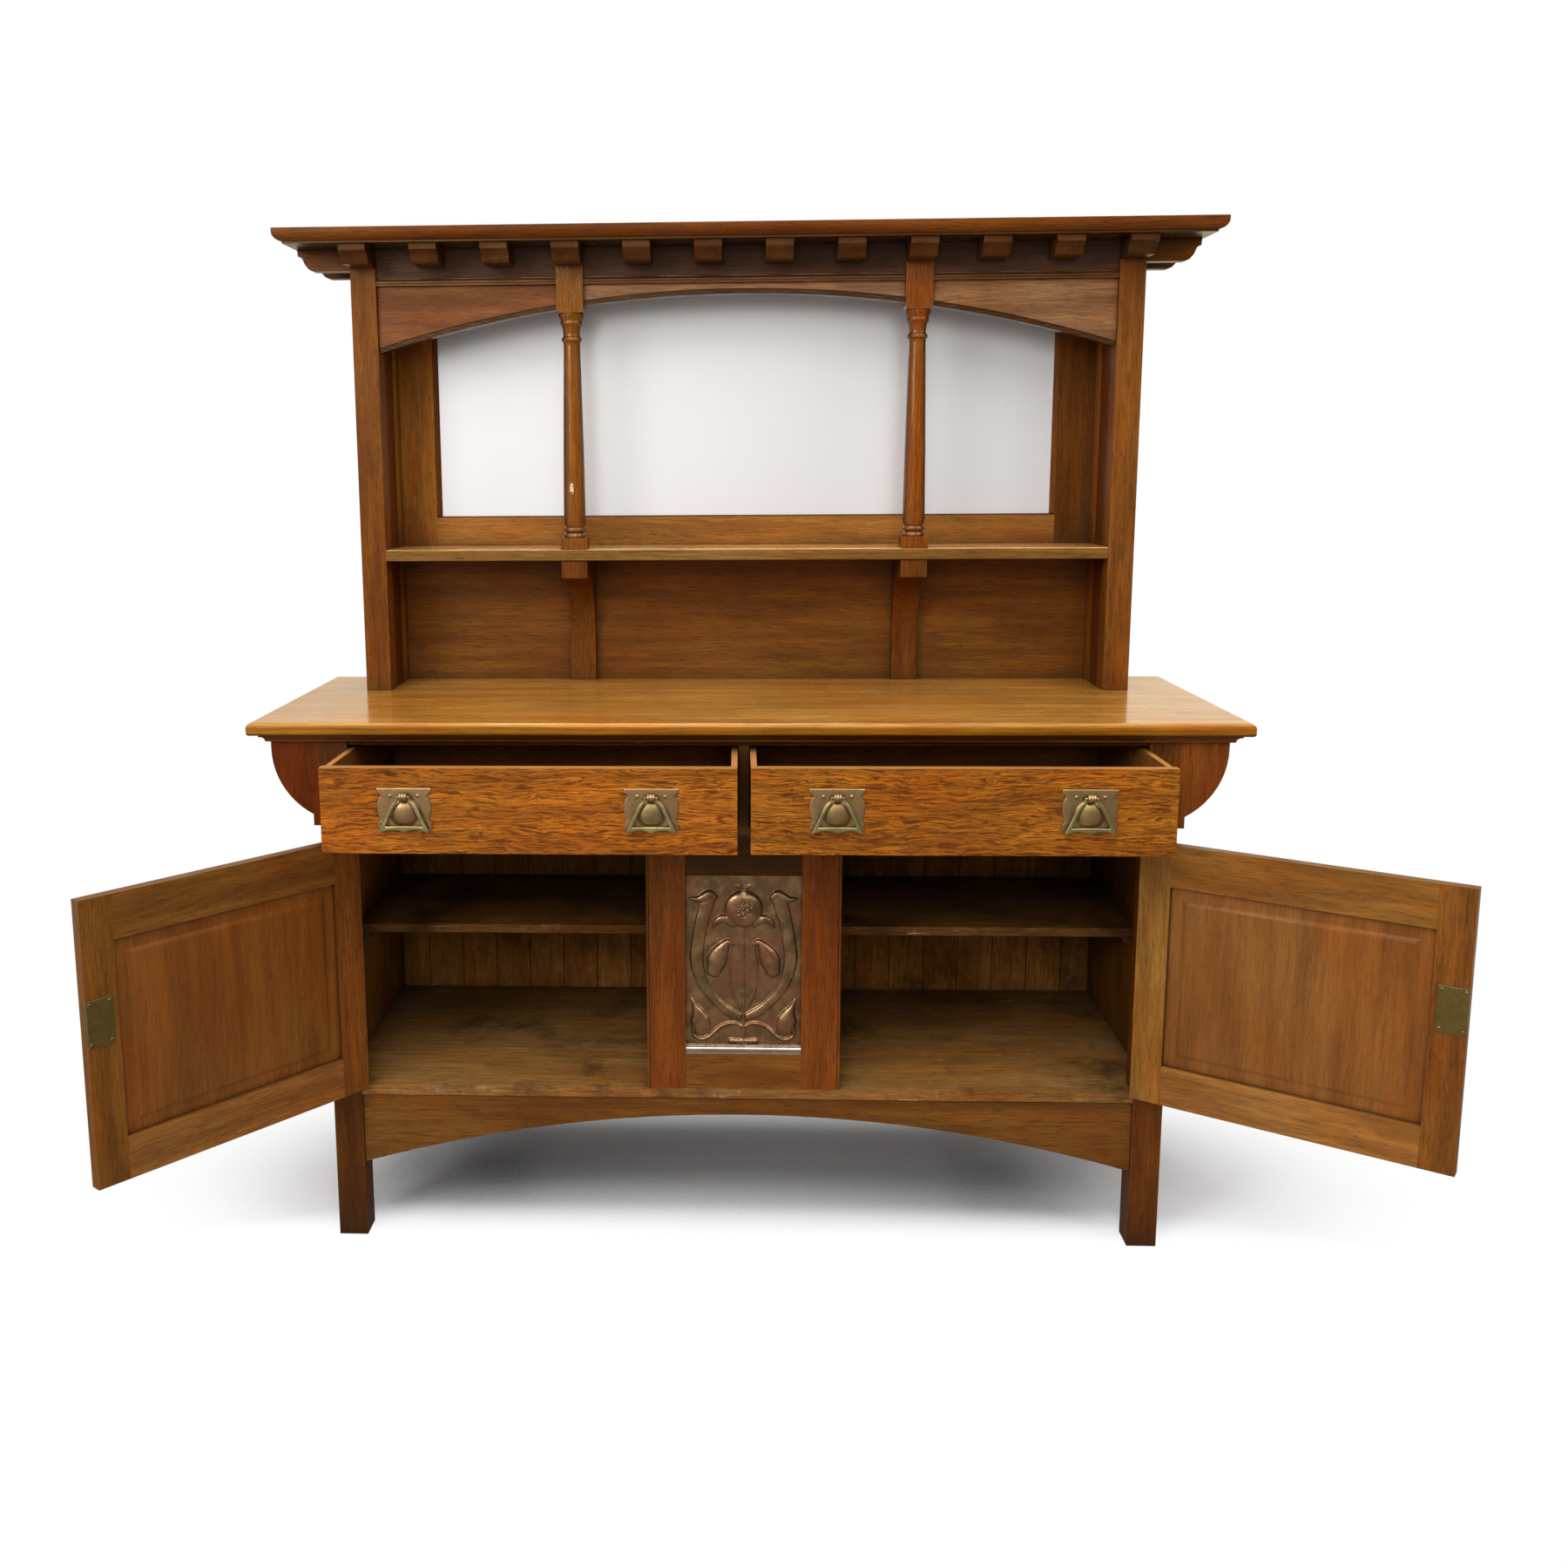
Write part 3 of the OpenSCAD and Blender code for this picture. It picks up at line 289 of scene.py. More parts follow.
def grown(s, wood, look, light, dark):
    """Colour of the stained grain, its pores and its fibres"""
    board = s.attribute("board")
    swayed = board
    for size, reach in zip(((2.6, 12, 12), (17, 42, 42)), look.sway):
        drift = s.plus(s.noise(board, size, 2, output=1), (-0.5, -0.5, -0.5))
        swayed = s.plus(swayed, s.times(drift, (0, reach, reach)))
    # At a scale of 1, the wave texture makes 20 rings in a length of 2 pi
    wave = s.add("ShaderNodeTexWave", {
        "Vector": s.times(swayed, (0, 1, 1)), "Distortion": 0.6, "Detail": 2,
        "Detail Scale": 3, "Scale": 2 * math.pi / 20 / wood.ring_spacing,
    }, output=1, wave_type="RINGS", rings_direction="X", wave_profile="SAW")
    broken = s.between(s.spots(swayed, (13, 90, 90), 0.36, 0.60, 4), 0, 1, 0.35, 1)
    ring = s.share(s.maths("POWER", wave, 2), broken)
    streak = s.spots(swayed, look.streak_size, 0.47, 0.62, look.detail, 0.6)
    cloud = s.spots(board, (3, 32, 32), 0.32, 0.68, 4)
    blush = s.spots(board, (3, 7, 7), 0.40, 0.66)
    pore = s.spots(swayed, (28, 340, 340), 0.54, 0.61, 2)
    fibre = s.noise(swayed, (11, 300, 300))
    lines = s.maths("MAXIMUM", s.share(ring, look.rings), s.share(streak, look.streaks))
    grain = s.mix(s.share(cloud, look.clouds), light, dark)
    grain = s.mix(s.share(blush, 0.75), grain, wood.ruddy, "MULTIPLY")
    grain = s.mix(s.share(s.between(fibre, 0.38, 0.64), look.fine), grain, dark)
    grain = s.mix(lines, grain, dark)
    grain = s.mix(s.share(pore, look.pores), grain, wood.grime_and_shade)
    return s.mix(1, grain, s.attribute("stain"), "MULTIPLY"), pore, fibre


def rubbed(s, wood, look, colour, edge):
    """Colour after wear: rubbed edges, nicks and chips, a tint on standing faces, wear on faces that look up, and
    painted shade on faces that look down and on the sides of turned pieces
    """
    place, tilt = s.place(), s.axis(s.normal(), "Z")
    rub = s.share(edge, s.spots(place, 16, 0.46, 0.74, 4, 0.7))
    worn = s.mix(s.share(rub, look.wear), colour, wood.worn)
    nick = s.share(edge, s.spots(place, 75, 0.66, 0.70))
    worn = s.mix(s.share(nick, 0.6 * min(look.wear * 2, 1)), worn, wood.chip)
    kicked = s.share(s.between(s.axis(place, "Z"), 0.40, 0.27),
                     s.spots(place, 60, 0.71, 0.77, 5, 0.7))
    worn = s.mix(s.share(kicked, look.wear * 0.8), worn, wood.chip)
    if look.chip_at:
        offset = s.plus(place, [-c for c in look.chip_at])
        away = s.between(s.distance(s.times(offset, (1.7, 1.0, 0.65))), 8 * MM, 6 * MM)
        worn = s.mix(s.share(away, s.spots(place, 180, 0.42, 0.52, 2)), worn, wood.chip)
    if look.upright:
        worn = s.mix(s.between(tilt, 0.85, 0.35), worn, s.times(worn, look.upright))
        # Painted shade: faces that look down are darkened
        worn = s.mix(s.between(tilt, 0, -0.5, 0, 0.75), worn, wood.grime_and_shade)
    if look.top_wear:
        worn = s.mix(s.between(tilt, 0.6, 0.95, 0, look.top_wear), worn, wood.worn)
    # Painted shade: turned pieces darken where they bend away from the light
    if look.limb:
        rim = s.add("ShaderNodeLayerWeight", {"Blend": 0.5}, "Facing")
        worn = s.mix(s.between(rim, 0.12, 0.72, 0, look.limb), worn, wood.grime_and_shade)
    return worn


def soiled_and_shaded(s, wood, look, colour):
    """Colour with painted shade in corners, dark joints, darkening towards the floor, dust, blots, painted shade
    and dirt towards the back, and scratches
    """
    place = s.place()
    # Painted shade: corners and recesses darkened up to 85 mm deep
    dirt_and_shade = s.mix(s.share(s.shade(0.085), 0.68), colour, wood.grime_and_shade)
    dirt_and_shade = s.mix(s.share(s.shade(look.seam, 3), 0.90), dirt_and_shade, wood.grime_and_shade)
    # Darker towards the floor
    dirt_and_shade = s.mix(s.between(s.axis(place, "Z"), 0.16, 0, 0, 0.55), dirt_and_shade, wood.grime_and_shade)
    if look.dust:
        film = s.share(s.spots(place, 34, 0.50, 0.72, 5, 0.75), s.spots(place, 7, 0.4, 0.65))
        dirt_and_shade = s.mix(s.share(film, look.dust), dirt_and_shade, wood.dust)
        blot = s.spots(place, 5.5, 0.47, 0.66, 6, 0.68)
        dirt_and_shade = s.mix(s.share(blot, look.dust * 1.5), dirt_and_shade, wood.grime_and_shade)
    # Painted shade, partly dirt: darker towards the back, then pale scratches
    if look.far:
        back = s.between(s.axis(place, "Y"), 0.02, 0.44, 0, look.far)
        dirt_and_shade = s.mix(back, dirt_and_shade, wood.grime_and_shade)
        scratch = s.share(s.spots(place, (11, 210, 210), 0.66, 0.70),
                          s.spots(place, 7, 0.40, 0.58))
        dirt_and_shade = s.mix(s.share(scratch, 0.8), dirt_and_shade, wood.scratch)
    return dirt_and_shade


def oak(name, pair, look):
    """Oak whose grain follows each board's own length, in the attribute board"""
    wood = bpy.context.scene.sideboard_wood
    s = Shader(name)
    light, dark = getattr(wood, pair + "_light"), getattr(wood, pair + "_dark")
    grain, pore, fibre = grown(s, wood, look, light, dark)
    soft, edge = s.edges(wood.edge_radius * look.radius)
    dirt_and_shade = soiled_and_shaded(s, wood, look, rubbed(s, wood, look, grain, edge))
    rough = s.between(s.noise(s.place(), 9), 0.3, 0.7, look.gloss - 0.06, look.gloss + 0.10)
    relief = s.maths("ADD", s.share(pore, -0.6), s.share(fibre, 0.4))
    if look.coat:
        s.finish(coat_roughness=0.09, coat_weight=s.between(
            s.axis(s.normal(), "Z"), 0.93, 0.995, 0.03, look.coat))
    return s.finish(base_color=dirt_and_shade, roughness=rough, specular_ior_level=look.specular,
                    specular_tint=wood.polish,
                    normal=s.bump(relief, 0.35 * MM, soft, look.bumps))


def metal(name, high, old, rose=None, gloss=0.38, metallic=0.85, clouds=0.5, scale=55,
          hollows=0.009, rub=None):
    """Aged metal: rubbed bright on its edges and swells, darkened in its hollows by patina and by painted shade
    about raised forms
    """
    s = Shader(name)
    place = s.place()
    soft, edge = s.edges(0.8 * MM)
    patch = s.spots(place, scale, 0.35, 0.68, 5, 0.65)
    ground = s.mix(s.between(patch, 0, 1, 0.5 - clouds / 2, 0.5 + clouds / 2), old, high)
    if rose is not None:
        blush = s.spots(place, scale * 0.6, 0.42, 0.64, 2)
        ground = s.mix(s.share(blush, 0.75), ground, rose)
    bright = s.mix(s.share(edge, 0.6), ground, rub or high)
    # Darkening in the hollows: patina, and on the copper also painted shade about the raised forms
    patina_and_shade = s.mix(s.share(s.shade(hollows), 0.70), bright, [c * 0.18 for c in old])
    rough = s.between(patch, 0, 1, gloss + 0.08, gloss - 0.03)
    grit = s.bump(s.noise(place, 420), 0.2 * MM, soft, 0.35)
    return s.finish(base_color=patina_and_shade, roughness=rough, metallic=metallic, normal=grit)


def islands(points, triangles):
    """A label for each point, the same for all points of one solid"""
    keys, index = np.unique(np.round(points, 5), axis=0, return_inverse=True)
    index = index.reshape(-1)
    corners = index[triangles]
    label = np.arange(len(keys))
    while True:
        low = label[corners].min(axis=1)
        new = label.copy()
        for column in corners.T:
            np.minimum.at(new, column, low)
        new = new[new]
        if (new == label).all():
            return label[index]
        label = new


def closed_place(body):
    """Matrix that brings a door's points to where they are when it is shut"""
    if not body.startswith("door"):
        return Matrix.Identity(4)
    joint = JOINTS[body]
    pin = Matrix.Translation(joint["pos_m"])
    turn = Matrix.Rotation(math.radians(joint["range_deg"][0]), 4, Vector(joint["axis"]))
    return pin @ turn @ pin.inverted()


def corners_of(mesh):
    """Points of a mesh, and the three points of each triangle"""
    points = np.zeros(len(mesh.vertices) * 3)
    mesh.vertices.foreach_get("co", points)
    mesh.calc_loop_triangles()
    triangles = np.zeros(len(mesh.loop_triangles) * 3, np.int32)
    mesh.loop_triangles.foreach_get("vertices", triangles)
    return points.reshape(-1, 3), triangles.reshape(-1, 3)


def board_stain(tone, draw):
    """Factors of red, green and blue for one board"""
    deep, red, *blue = tone
    warm = red + draw.uniform(-0.28, 0.28)
    cool = blue[0] if blue else 1
    factors = np.array((1, 1 - 0.30 * warm, (1 - 0.5 * warm) * cool))
    return factors * deep * draw.uniform(0.88, 1.10)


def lay_grain(piece, body, seed, upright):
    """Writes each board's own grain direction and stain onto the piece's points"""
    points, triangles = corners_of(piece.data)
    label = islands(points, triangles)
    shut = np.array(closed_place(body))
    local = points @ shut[:3, :3].T + shut[:3, 3]
    tones = STAIN.get(piece.name, ((1.0, 0.0),))
    grain, stain = np.zeros_like(points), np.zeros_like(points)
    draw = np.random.RandomState(seed)
    names = np.unique(label)
    middles = np.array([local[label == name].mean(axis=0) for name in names]).round(2)
    across = np.lexsort((middles[:, 2], middles[:, 0]))
    for rank, name in zip(np.argsort(across), names):
        own = label == name
        low, high = local[own].min(axis=0), local[own].max(axis=0)
        order = np.argsort(high - low)[::-1]
        if upright:
            order = [2] + [axis for axis in order if axis != 2]
        middle = local[own] - (low + high) / 2
        grain[own] = middle[:, order] + draw.uniform((0, 0.05, 0.01), (5, 0.32, 0.10))
        stain[own] = board_stain(tones[min(rank, len(tones) - 1)], draw)
    for name, values in (("board", grain), ("stain", stain)):
        layer = piece.data.attributes.new(name, "FLOAT_VECTOR", "POINT")
        layer.data.foreach_set("vector", values.ravel())


def dress(node, material):
    """Gives a CAD node, or a piece of that name, one material"""
    piece = frame["nodes"].get(node) or bpy.data.objects[node]
    piece.data.materials.clear()
    piece.data.materials.append(material)
    return piece


def body_of(node):
    """Body that a node, or the field made for a door's panel, rides on"""
    if node.endswith("_field"):
        return node.removesuffix("_field")
    for body, nodes in frame["record"]["behaviour"]["bodies"].items():
        if node in nodes:
            return body
    raise ValueError(f"no body holds {node}")


def deselect():
    bpy.ops.object.select_all(action="DESELECT")


def active():
    return bpy.context.view_layer.objects.active


BRASS = ("frame_hinges", "door_left_metal", "door_right_metal", "door_left_bolt",
         "door_right_bolt")

# Depth, redness and blue of the stain. Several tones go to a node's boards from left to
# right, and upwards where they are one above another.
STAIN = {
    "apron": ((0.48, -0.15, 1.1),),
    "arch_moulding": ((0.17, 0.3),),
    "back_boards": ((1.5, 0.0),),
    "bed_mould": ((0.50, 0.1, 1.5),),
    # The fourth and darkest tone is painted shade on the top rail under the drawers
    "centre_frame": ((0.54, 0.6), (0.54, 0.6), (0.65, 0.15), (0.15, 0.2), (0.60, 1.0)),
    "columns": ((0.82, 0.3, 0.28), (0.87, 1.1, 0.20)),
    "cornice_board": ((0.52, 0.6),),
    "door_left_field": ((0.72, 0.2),),
    "door_left_frame": ((0.57, 0.1), (0.74, -0.3, 1.3), (0.55, -0.15), (0.51, -0.45, 0.8)),
    "door_right_field": ((0.92, -0.5, 1.45),),
    "door_right_frame": ((0.69, 0.2), (1.15, -1.1, 1.6), (0.96, -0.5, 1.1), (0.86, -0.6, 1.1)),
    "drawer_left_front": ((0.93, 0.05),),
    "drawer_right_front": ((0.75, 0.08),),
    "fascia": ((0.29, -1.05, 4.0),),
    "floor_board": ((1.64, -0.7, 1.2),),
    "frieze": ((0.72, -0.2, 2.5), (0.93, -1.2, 3.1), (0.96, -1.2, 2.7)),
    "front_legs": ((0.36, 0.8), (0.48, 0.8)),
    "front_rails": ((0.36, 0.1),),
    "inner_shelves": ((1.1, -0.5),),
    "mirror_bead": ((0.45, 0.5),),
    "mirror_frame": ((1.03, 0.0), (1.20, -0.4, 1.35), (1.0, 0.0), (0.39, 0.4)),
    "modillions": ((0.29, 0.1, 1.6),) * 11 + ((0.21, 0.2, 1.4),),
    # Partly painted shade: the niche back is stained darker for the shade under the shelf
    "niche_back": ((0.59, 0.05, 1.15),),
    "rear_legs": ((0.36, 0.8),),
    "shelf_brackets": ((0.50, 0.4),),
    "side_brackets": ((0.42, 1.3, 0.7), (0.42, 1.2, 0.7), (0.72, 0.6)),
    "side_consoles": ((0.45, 0.2),),
    "side_panels": ((0.85, 0.0), (0.38, 0.1)),
    # Painted shade: the soffit is stained dark because it faces down into shade
    "soffit_board": ((0.28, 0.4),),
    "under_moulding": ((0.6, 0.2),),
    "upper_posts": ((0.68, 0.1), (0.76, 0.0, 1.2)),
    "upper_shelf": ((1.36, -0.7, 1.7),),
    "upper_sides": ((0.35, 0.9), (0.31, 1.3, 0.85)),
}


# Name of a finish, its pair of colours, its nodes, and what differs from OAK_LOOK
FINISHES = (
    ("stained oak", "frame", (
        "under_moulding", "side_brackets", "front_legs", "rear_legs", "side_panels",
        "front_rails", "apron", "centre_frame", "upper_posts", "rear_posts", "upper_sides",
        "shelf_brackets", "mirror_frame", "mirror_bead", "fascia", "side_consoles",
        "modillions", "cornice_board", "niche_back", "frieze", "door_left_frame",
        "door_right_frame"), dict(rings=0.34, streaks=0.18, fine=0.30, clouds=0.54)),
    ("turned oak", "frame", ("columns", "arch_moulding", "bed_mould"), dict(
        gloss=0.18, specular=0.36, limb=0.85, radius=0.4, chip_at=(-0.3725, 0.2925, 1.320))),
    ("polished oak", "top", ("base_top", "soffit_board"), dict(
        rings=0.16, streaks=0.50, streak_size=(1.6, 150, 150), fine=0.30, pores=0.20,
        gloss=0.26, specular=0.22, coat=0.65, wear=0.2, upright=(0.52, 0.41, 0.065),
        bumps=0.06, sway=(0.010, 0.0015))),
    ("shelf oak", "top", ("upper_shelf",), dict(
        rings=0.36, streaks=0.30, gloss=0.26, specular=0.30, coat=0.6, wear=0.1,
        upright=(0.27, 0.22, 0.125), bumps=0.1, sway=(0.010, 0.002))),
    ("bare oak", "inner", (
        "drawer_runners", "drawer_guides", "partitions", "lower_rails", "shelf_bearers",
        "back_boards", "panel_backing", "mirror_back", "drawer_left_bottom",
        "drawer_right_bottom"), dict(
        streaks=0.40, streak_size=(16, 300, 300), gloss=0.62, specular=0.12, dust=0.4,
        wear=0.6)),
    ("floor oak", "inner", ("floor_board", "inner_shelves"), dict(
        streaks=0.45, streak_size=(9, 260, 260), gloss=0.55, dust=0.5, wear=0.8,
        upright=(0.66, 0.56, 0.48), far=0.62)),
    ("drawer oak", "inner", ("drawer_left_box", "drawer_right_box"), dict(
        gloss=0.5, dust=0.2, wear=0.7, top_wear=0.9)),
    ("figured oak", "drawer", ("drawer_left_front", "drawer_right_front"), dict(
        rings=0.95, streaks=0.85, streak_size=(17, 310, 310), detail=3, pores=0.45,
        gloss=0.30, specular=0.18, wear=0.8, top_wear=0.8, sway=(0.045, 0.016))),
    ("panel oak", "panel", ("door_left_field", "door_right_field"), dict(
        grain_upright=True, rings=0.30, streaks=0.14, pores=0.15, seam=0.011, fine=0.26,
        clouds=0.52)),
)


class SIDEBOARD_OT_oak(bpy.types.Operator):
    """Lay the grain on every board and finish the oak"""
    bl_idname = "sideboard.oak"
    bl_label = "Oak boards"

    def execute(self, context):
        seed = 11
        for name, pair, nodes, own in FINISHES:
            look = SimpleNamespace(**{**OAK_LOOK, **own})
            material = oak(name, pair, look)
            for node in nodes:
                seed += 1
                lay_grain(dress(node, material), body_of(node), seed, look.grain_upright)
        return {"FINISHED"}


class SIDEBOARD_OT_brass(bpy.types.Operator):
    """Finish the hinges, lock plates and bolts"""
    bl_idname = "sideboard.brass"
    bl_label = "Hinges and locks"

    def execute(self, context):
        tint = context.scene.sideboard_metal
        # The lock brass's edges get rubbing and a painted highlight
        finish = metal("lock brass", tint.lock, tint.lock_old, gloss=0.44, scale=90,
                       rub=tint.lock_rub_and_glint)
        for node in BRASS:
            dress(node, finish)
        return {"FINISHED"}


def smooth_line(points):
    """Points of a smooth curve through the given points, eight to each stretch"""
    p = np.array(points, float)
    p = np.vstack((2 * p[0] - p[1], p, 2 * p[-1] - p[-2]))
    t = np.linspace(0, 1, 8, endpoint=False)[:, None]
    parts = [0.5 * ((2 * b) + (c - a) * t + (2 * a - 5 * b + 4 * c - d) * t ** 2
                    + (3 * b - a - 3 * c + d) * t ** 3)
             for a, b, c, d in zip(p, p[1:], p[2:], p[3:])]
    return np.vstack(parts + [p[-2:-1]])


def run_of(line):
    """How far along a line each of its points is"""
    return np.concatenate(([0], np.cumsum(np.hypot(*np.diff(line, axis=0).T))))


def nearest(x, z, line):
    """Distance of each point to a line, and how far along the line that is, 0 to 1"""
    best = np.full(x.shape, 1e9)
    along = np.zeros(x.shape)
    run = run_of(line)
    for i in range(len(line) - 1):
        (ax, az), (bx, bz) = line[i], line[i + 1]
        dx, dz = bx - ax, bz - az
        t = np.clip(((x - ax) * dx + (z - az) * dz) / (dx * dx + dz * dz), 0, 1)
        gap = np.hypot(x - ax - t * dx, z - az - t * dz)
        closer = gap < best
        best[closer] = gap[closer]
        along[closer] = (run[i] + t * (run[i + 1] - run[i]))[closer]
    return best, along / run[-1]


def inside(x, z, outline):
    """True for the points within a closed outline"""
    hit = np.zeros(x.shape, bool)
    for (ax, az), (bx, bz) in zip(outline, np.roll(outline, -1, axis=0)):
        if az != bz:
            crossing = (az > z) != (bz > z)
            hit ^= crossing & (x < (bx - ax) * (z - az) / (bz - az) + ax)
    return hit


def swell(x, z, points, widths, height, power=0.5):
    """Rounded swelling along a curve: its height, and how far in from its outline"""
    gap, along = nearest(x, z, smooth_line(points))
    half = np.interp(along, np.linspace(0, 1, len(widths)), widths)
    full = np.clip(1 - (gap / half) ** 2, 0, 1)
    return height * full ** power * (half / max(widths)) ** 0.5, half - gap


# Curves of the right half of the plant, in millimetres from the middle of its foot
BAND_OUT = ((70, 266), (78, 244), (87, 200), (92.5, 150), (81, 106), (58, 73), (30, 47),
            (3, 38))
BAND_IN = ((45, 268), (52, 243), (63, 206), (69.5, 157), (66, 124), (53, 93), (30, 68),
           (4, 52))
POD = ((18, 177), (27, 180), (38, 166), (46, 148), (51, 130))
BUD = ((90, 78), (85, 66), (79, 52), (75, 37), (73, 27))
WHIPLASH = ((3, 28), (17, 34), (38, 28), (60, 9), (74, 4), (87, 12), (88, 28))
SCROLL = ((49, 260), (58, 266), (68, 261), (78, 257), (92, 259))
CURL = ((18, 212), (28, 220), (38, 222), (48, 216), (53, 207))
CROWN = ((1, 271), (6, 279), (15, 281))
STEM_IN = ((18, 178), (24, 131), (20, 92), (4, 58))
STEM = ((0, 206), (0, 130), (0, 60))
ROOT = ((0, 66), (0, 40), (0, 5))
FOOT = ((0, 0), (12, 0.5), (22, 1))
HEAD_MIDDLE, HEAD_RADIUS = 240, 33
# One seed in the middle of the head and six about it
SEEDS = [(0, 243)] + [(10.5 * math.cos(math.radians(turn)),
                       243 + 10.5 * math.sin(math.radians(turn)))
                      for turn in range(30, 390, 60)]
SEED_RADIUS = 3.4
FOOT_HEIGHT = 369  # millimetres from the floor to the foot of the plant
SHEET_EDGE = 1.2 * MM  # how far the flat sheet lies behind the node's front
SHEET_WALL = 1.1 * MM  # how far its rim goes back
FLAT_RIM = 6 * MM  # width in which the swelling sinks to the rim


def swellings(sizes):
    """Curve, half-widths along it, rise and roundness of each part of the plant"""
    return (
        (POD, (3, 9, 15.5, 18, 13), sizes.pod_height / MM, 0.55),
        (BUD, (0.8, 3.8, 10.5, 17, 16), sizes.bud_height / MM, 0.55),
        (WHIPLASH, (2.2, 3.2, 3.6, 3.6, 3.2, 2.2), 4.4),
        (SCROLL, (4.5, 8, 8, 5.5, 1.5), 6.8, 0.55),
        (CURL, (5.5, 7.5, 7.5, 5.0, 1.8), 6.0),
        (CROWN, (2.5, 3.4, 1.4), 2.6),
        (STEM_IN, (1.4, 2.2, 2.2, 2.2), 2.4),
        (STEM, (1.6, 1.9, 2.6), 2.4),
        (ROOT, (2.5, 4.0, 5.5), 3.4),
        (FOOT, (6, 4.5, 4.6), 4.8),
    )


def relief(x, z, sizes):
    """Height in millimetres of the embossed plant over the sheet"""
    x = np.abs(x)
    outer, inner = smooth_line(BAND_OUT), smooth_line(BAND_IN)
    gap_out, _ = nearest(x, z, outer)
    gap_in, _ = nearest(x, z, inner)
    within = inside(x, z, np.vstack((outer, inner[::-1])))
    edge = np.where(within, 1, -1) * np.minimum(gap_out, gap_in)
    share = gap_out / (gap_out + gap_in)
    band = np.clip(edge / 1.8, 0, 1) ** 0.5 * (2.6 + 2.2 * np.sin(np.pi * share) ** 0.8)
    from_head = np.hypot(x, z - HEAD_MIDDLE)
    dome = np.clip(1 - (from_head / HEAD_RADIUS) ** 2, 0, 1) ** 0.5
    forms = [(band, edge), *(swell(x, z, *form) for form in swellings(sizes)),
             (sizes.head_height / MM * dome, HEAD_RADIUS - from_head)]
    height = np.zeros(x.shape)
    for rise, edge in forms:
        groove = 0.55 * np.exp(-((edge + 0.9) / 1.1) ** 2)
        height = np.maximum(height, rise) - groove
    for seed_x, seed_z in SEEDS:
        away = np.hypot(x - seed_x, z - seed_z)
        height += 2.2 * np.clip(1 - (away / SEED_RADIUS) ** 2, 0, 1) ** 0.5
        height -= 1.3 * np.exp(-((away - 4.3) / 1.0) ** 2)
    uneven = np.sin(x / 9 + 1) * np.sin(z / 11) + 0.6 * np.sin(x / 5 - z / 7)
    return height + sizes.hammering / MM * uneven


def new_grid(name, columns, rows):
    """A flat grid with so many faces along and across, as the active piece"""
    deselect()
    bpy.ops.mesh.primitive_grid_add(x_subdivisions=columns, y_subdivisions=rows, size=1)
    grid = active()
    grid.name = name
    return grid


def face_outwards():
    """Turns the faces of the piece in edit mode outwards, and leaves edit mode"""
    bpy.ops.mesh.select_all(action="SELECT")
    bpy.ops.mesh.normals_make_consistent(inside=False)
    bpy.ops.object.mode_set(mode="OBJECT")


class SIDEBOARD_OT_relief(bpy.types.Operator):
    """Emboss the copper panel and finish it with its strip"""
    bl_idname = "sideboard.relief"
    bl_label = "Copper panel"

    def execute(self, context):
        sizes = context.scene.sideboard_relief
        tint = context.scene.sideboard_metal
        low, high = (Vector(corner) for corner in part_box("copper_panel"))
        wide, tall = high.x - low.x, high.z - low.z
        sheet = new_grid("copper_relief", round(wide / sizes.pitch), round(tall / sizes.pitch))
        grid = np.zeros(len(sheet.data.vertices) * 3)
        sheet.data.vertices.foreach_get("co", grid)
        grid = grid.reshape(-1, 3)
        x, z = grid[:, 0] * wide, (grid[:, 1] + 0.5) * tall + low.z
        rise = relief(x / MM, z / MM - FOOT_HEIGHT, sizes) * MM
        rise *= np.clip((0.5 - np.abs(grid[:, :2])).min(axis=1) * wide / FLAT_RIM, 0, 1)
        place = np.column_stack((x + (low.x + high.x) / 2, high.y - SHEET_EDGE - rise, z))
        sheet.data.vertices.foreach_set("co", place.ravel())
        for edge in sheet.data.edges:
            edge.select = False
        bpy.ops.object.mode_set(mode="EDIT")
        bpy.ops.mesh.select_mode(type="EDGE")
        bpy.ops.mesh.select_non_manifold()
        bpy.ops.mesh.extrude_region_move(
            TRANSFORM_OT_translate={"value": (0, SHEET_WALL, 0)})
        bpy.ops.mesh.edge_face_add()
        face_outwards()
        bpy.ops.object.shade_smooth_by_angle(angle=math.radians(80))
        # The copper's wide darkening about the raised forms is painted shade
        sheet.data.materials.append(metal("copper", tint.copper, tint.copper_old,
                                          tint.copper_rose, gloss=0.23, clouds=0.65,
                                          scale=32, metallic=0.80, hollows=0.016))
        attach(sheet, "carcass")
        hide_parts("copper_panel")
        dress("panel_bead", metal("bright copper", tint.strip, tint.strip_old, gloss=0.26))
        return {"FINISHED"}


def loft(name, rows):
    """A new piece through rows of points in metres, its seams and poles closed"""
    rows = np.array(rows, float)
    piece = new_grid(name, rows.shape[1] - 1, rows.shape[0] - 1)
    piece.data.vertices.foreach_set("co", rows.ravel())
    bpy.ops.object.mode_set(mode="EDIT")
    bpy.ops.mesh.select_all(action="SELECT")
    bpy.ops.mesh.remove_doubles(threshold=0.01 * MM)
    bpy.ops.mesh.select_all(action="DESELECT")
    bpy.ops.mesh.select_mode(type="EDGE")
    bpy.ops.mesh.select_non_manifold()
    bpy.ops.mesh.edge_face_add()
    face_outwards()
    return piece


